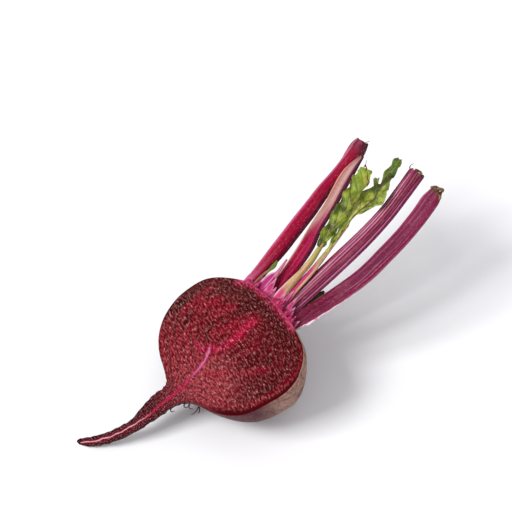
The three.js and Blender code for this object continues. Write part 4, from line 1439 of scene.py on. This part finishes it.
# %% Rootlets
ROOTLETS = [  # three or more points each, in the plant's millimetres
    [[5.2, -37.2, -0.8], [6.6, -38.4, -0.2], [8.2, -38.2, 0.3], [9.0, -36.9, 0.4], [8.6, -35.8, 0]],
    [[7.4, -35.4, -0.6], [8.6, -36.6, 0.2], [10.3, -36.9, 0.6], [11.6, -36.0, 0.5]],
    [[12.2, -33.4, -0.6], [13.2, -34.8, 0.0], [13.6, -36.6, 0.2], [13.0, -38.3, -0.2]],
    [[12.6, -33.2, -0.8], [14.2, -34.0, -0.4], [15.0, -35.4, -0.4]],
    [[2.4, -43.6, -0.6], [3.6, -44.8, 0.0], [4.8, -44.6, 0.4], [5.3, -43.4, 0.2]],
    [[-8.9, -43.0, -1.5], [-10.0, -44.0, -1.6], [-10.4, -45.6, -2.0]],
    [[-4.0, -38.0, -8.0], [-3.2, -39.6, -9.6], [-4.8, -41.4, -10.4]],
]


def hair_rows(points):
    """A table for a hair through the points: 0.34 mm in radius at the skin, 0.16 at the tip."""
    radius = np.linspace(0.34, 0.16, len(points))
    return np.column_stack([points, radius, radius, 0 * radius])


bundle("rootlets", [hair_rows(points) for points in ROOTLETS], 8, one_tint("42262c"), SKIN)

# %% Shreds between the stalks
SHREDS = [  # x and z at the crown, lean of the tip, length, half width
    [-24.6, -5.0, -1.0, 5.0, 1.0], [-18.2, -3.8, -0.6, 8.0, 1.5], [-16.0, -3.6, -0.8, 9.0, 1.8],
    [-9.6, -3.0, -2.6, 12.0, 2.0], [-7.0, -3.8, -2.0, 9.0, 1.5], [-1.0, -3.4, -1.2, 10.0, 1.4],
    [0.2, -4.4, -1.2, 14.0, 1.5], [4.6, -4.6, -1.8, 13.0, 1.6], [6.4, -5.2, -0.6, 9.0, 1.6],
    [12.4, -4.6, 1.0, 6.0, 1.4],
]


def shred_rows(x, z, lean, length, width):
    """A flat strip that starts inside the crown, leans to one side and ends in a point."""
    return [
        [x, 23.0, z - 0.4, width * 1.2, 0.4, 0],
        [x + 0.2 * lean, 23.5 + 0.35 * length, z, width, 0.32, 8],
        [x + 0.6 * lean, 23.5 + 0.7 * length, z + 0.3, width * 0.6, 0.24, 14],
        [x + lean, 23.5 + length, z + 0.2, 0.12, 0.1, 20],
    ]


def shred_tint(rings, t, angle):
    """Magenta at the crown, pale pink along the margins and at the tip."""
    pale = np.maximum(np.abs(np.cos(angle)) ** 4 * 0.7, smooth_step(0.6, 1, t)[:, None])
    return layers(plain(rings.shape[:2], "b01c60"), [
        ("d04c88", noise(rings / 0.8, seed=97)), ("ecb4c8", pale * 0.8)])


bundle("crown_shreds", [shred_rows(*row) for row in SHREDS], 12, shred_tint, STALK_SKIN)

# %% Flares along the crown's rim
def flare_rows(x, lean, length, width):
    """A short flat strip that starts just inside the rim of the cut and lies on the crown."""
    rim = 26.4 - 0.0072 * (x - 0.5) ** 2
    return [
        [x, rim - 1.2, -1.3, width * 1.2, 0.3, 0],
        [x + 0.3 * lean, rim + 0.3 * length, -0.9, width, 0.28, 6],
        [x + 0.7 * lean, rim + 0.7 * length, -1.3, width * 0.6, 0.22, 10],
        [x + lean, rim + length, -1.9, 0.12, 0.1, 14],
    ]


def flare_tint(rings, t, angle):
    """Crimson with pink patches, a little paler at the tip."""
    return layers(plain(rings.shape[:2], "981848"), [
        ("c84474", smooth_step(-0.2, 0.5, noise(rings, seed=98))),
        ("e0a0b4", smooth_step(0.6, 1, t)[:, None] * 0.6)])


FLARE_COUNT = 15
DRAW = np.random.default_rng(23)
FLARES = [flare_rows(x=DRAW.uniform(-21, 13), lean=DRAW.uniform(-2.2, 0.8),
                     length=DRAW.uniform(1.2, 2.4) ** 2, width=DRAW.uniform(0.6, 1.7))
          for _ in range(FLARE_COUNT)]
bundle("crown_flares", FLARES, 12, flare_tint, STALK_SKIN)

# %% Dried crusts on the torn ends
CRUSTS = [  # points, and the radius at the start
    ([[-5.6, 120.8, -6.4], [-3.8, 121.6, -6.2], [-2.2, 121.6, -6.8], [-1.4, 119.8, -7.4]], 0.8),
    ([[7.6, 119.6, -6.6], [9.0, 121.4, -6.0], [10.8, 121.6, -5.4], [12.2, 121.4, -5.4]], 0.8),
    ([[10.6, 120.4, -5.8], [12.2, 122.0, -5.4], [13.4, 122.2, -5.6], [13.4, 120.6, -6.0]], 1.2),
    ([[12.4, 118.8, -6.2], [14.0, 119.6, -5.8], [15.2, 118.8, -6.2], [15.3, 116.6, -6.8]], 0.9),
]
FIBRES = [  # thin dry fibres that stand off a torn end
    ([[-9.0, 119.6, -7.0], [-9.5, 121.0, -6.4], [-9.0, 122.6, -6.2]], 0.3),
    ([[-37.4, 112.6, -6.0], [-36.2, 114.6, -5.4], [-35.6, 116.0, -5.4]], 0.3),
    ([[-21.0, 103.4, 3.2], [-21.4, 104.9, 3.4], [-22.6, 106.8, 3.6]], 0.25),
]


def crust_rows(points, radius):
    """A table for a lumpy scrap through the points, which thins towards its end."""
    lumps = 1 + 0.2 * np.cos(np.arange(len(points)) * 3)
    width = radius * np.linspace(1, 0.45, len(points)) * lumps
    return np.column_stack([points, width, 0.8 * width, 0 * width])


def crust_tint(rings, t, angle):
    """Olive brown, with darker and paler patches."""
    patch = noise(rings / 1.2, seed=99)
    return layers(plain(rings.shape[:2], "5a482a"), [
        ("2e2616", smooth_step(0, 0.5, patch) * 0.8),
        ("94784e", smooth_step(0.1, 0.5, -patch) * 0.7)])


bundle("dried_crusts", [crust_rows(*row) for row in CRUSTS + FIBRES], 12, crust_tint, DRY_SKIN)

# %% Red dried margin of the left leaf
RED_MARGIN = [[-21.6, 104.7, 3.0], [-17.9, 103.2, 3.4], [-15.0, 100.6, 3.2], [-12.6, 100.0, 3.0],
              [-13.0, 98.2, 2.8], [-14.0, 97.4, 2.8]]
bundle("leaf_margin", [crust_rows(RED_MARGIN, 0.34)], 12, one_tint("7c1630"), DRY_SKIN)

# %% The torn sheath along the broad stalk
STRIP_REACH = (0.03, 0.36)                   # where it starts and ends along the stalk
STRIP_RINGS = 120
STRIP_COLUMNS = 14


def make_sheath_strip():
    """A strip along the broad stalk's right margin: it starts on the skin and reaches out by
    about 1 mm, at most 1.9, and its free edge is frilled by noise."""
    t = np.linspace(*STRIP_REACH, STRIP_RINGS)
    share = np.linspace(0, 1, STRIP_COLUMNS)
    whole = np.linspace(0, 1, 400)
    middle, _, across, out, width, thickness = [
        np.stack([np.interp(t, whole, column) for column in np.atleast_2d(part.T)], -1)
        for part in line_frames(BROAD_LINE, whole)]
    spot = np.stack(np.broadcast_arrays(t[:, None] * 90, share * 2, 0 * share), -1)
    fading = np.sin(np.pi * np.linspace(0.12, 1, STRIP_RINGS))[:, None] ** 0.6
    reach = share * (1.3 + 1.0 * noise(spot * [1.5, 0, 0], 91)) * fading
    frill = share**1.5 * 0.9 * noise(spot * [1, 0.3, 1], 93)
    foot = middle + across * width * 0.94 - out * thickness * 0.18
    sheet = (foot[:, None] + across[:, None] * reach[..., None]
             + out[:, None] * (frill + 0.35 * share)[..., None])
    rings = thick_sheet(sheet, 2 * share - 1, half=0.14)
    piece = body("sheath_strip", *closed_rings(rings))
    tint = brush(plain(rings.shape[:2], "f0d4de"), "c04c80",
                 smooth_step(0.0, 0.5, noise(rings, 95)) * 0.7)
    dress(piece, with_ends(tint), with_ends(skin_grain(rings)), DRY_SKIN)
    hand_over(piece, "dry_scrap")


make_sheath_strip()

# %% [markdown]
# ## The set
#
# A white table runs on beyond the view. Even light from a pale sky fills the shadows, and one
# soft lamp above on the left, a little in front, draws the shadow to the right.

# %% The table
FLOOR_SIZE = 4.0


def make_floor():
    """A square of plain matt white at height 0."""
    half = FLOOR_SIZE / 2
    mesh = bpy.data.meshes.new("table_top")
    corners = [(-half, -half, 0), (half, -half, 0), (half, half, 0), (-half, half, 0)]
    mesh.from_pydata(corners, [], [(0, 1, 2, 3)])
    floor = bpy.data.objects.new("table_top", mesh)
    bpy.context.scene.collection.objects.link(floor)
    material, _, shader = new_material("matt white", roughness=0.9, gloss=0.1)
    shader.inputs["Base Color"].default_value = colour("f4f4f6")
    mesh.materials.append(material)


make_floor()
print("the table is", FLOOR_SIZE, "m wide")

# %% The light
KEY_FROM = unit(np.array([-0.58, -0.23, 0.78]))    # the direction towards the lamp
KEY_DISTANCE = 2.4                                 # metres
KEY_SIZE = 0.85                                    # metres
KEY_POWER = 45.0                                   # watts
SKY_STRENGTH = 0.66


def make_lamp():
    """A square lamp at the distance in the key's direction. A lamp shines along its own -Z, so it
    is turned until its Z points away from the middle of the root."""
    light = bpy.data.lights.new("soft_lamp", "AREA")
    light.energy, light.size = KEY_POWER, KEY_SIZE
    lamp = bpy.data.objects.new("soft_lamp", light)
    lamp.location = KEY_FROM * KEY_DISTANCE
    away = mathutils.Vector(np.array(lamp.location) - BULB_CENTRE * MM)
    lamp.rotation_euler = away.to_track_quat("Z", "Y").to_euler()
    bpy.context.scene.collection.objects.link(lamp)


def make_sky():
    """One pale colour from all sides."""
    world = bpy.data.worlds.new("pale_sky")
    world.use_nodes = True
    sky = world.node_tree.nodes["Background"]
    sky.inputs["Color"].default_value = (0.97, 0.975, 1.0, 1.0)
    sky.inputs["Strength"].default_value = SKY_STRENGTH
    bpy.context.scene.world = world


make_lamp()
make_sky()
bpy.context.scene.view_settings.view_transform = "Standard"
print("lamp at", np.round(KEY_FROM * KEY_DISTANCE, 2))

# %% [markdown]
# ## The camera
#
# The camera looks down at 53 degrees from 64 cm away, through a long lens, so near and far parts
# keep almost the same scale. Its place is given from the middle of the cut face.

# %% The camera
CAMERA_FROM_CENTRE = np.array([10.08, -352.2, 535.97])     # millimetres
CAMERA_TILT = 37.0                                         # degrees from straight down
LENS, SENSOR = 93.75, 36.0                                 # focal length and width, millimetres


def make_camera():
    """A camera that leans forward by the tilt, with no turn to either side."""
    lens = bpy.data.cameras.new("camera")
    lens.lens, lens.sensor_width = LENS, SENSOR
    camera = bpy.data.objects.new("camera", lens)
    camera.location = (BULB_CENTRE + CAMERA_FROM_CENTRE) * MM
    camera.rotation_euler = (np.radians(CAMERA_TILT), 0, 0)
    bpy.context.scene.collection.objects.link(camera)
    bpy.context.scene.camera = camera


make_camera()
print("camera at", np.round((BULB_CENTRE + CAMERA_FROM_CENTRE) * MM, 3))
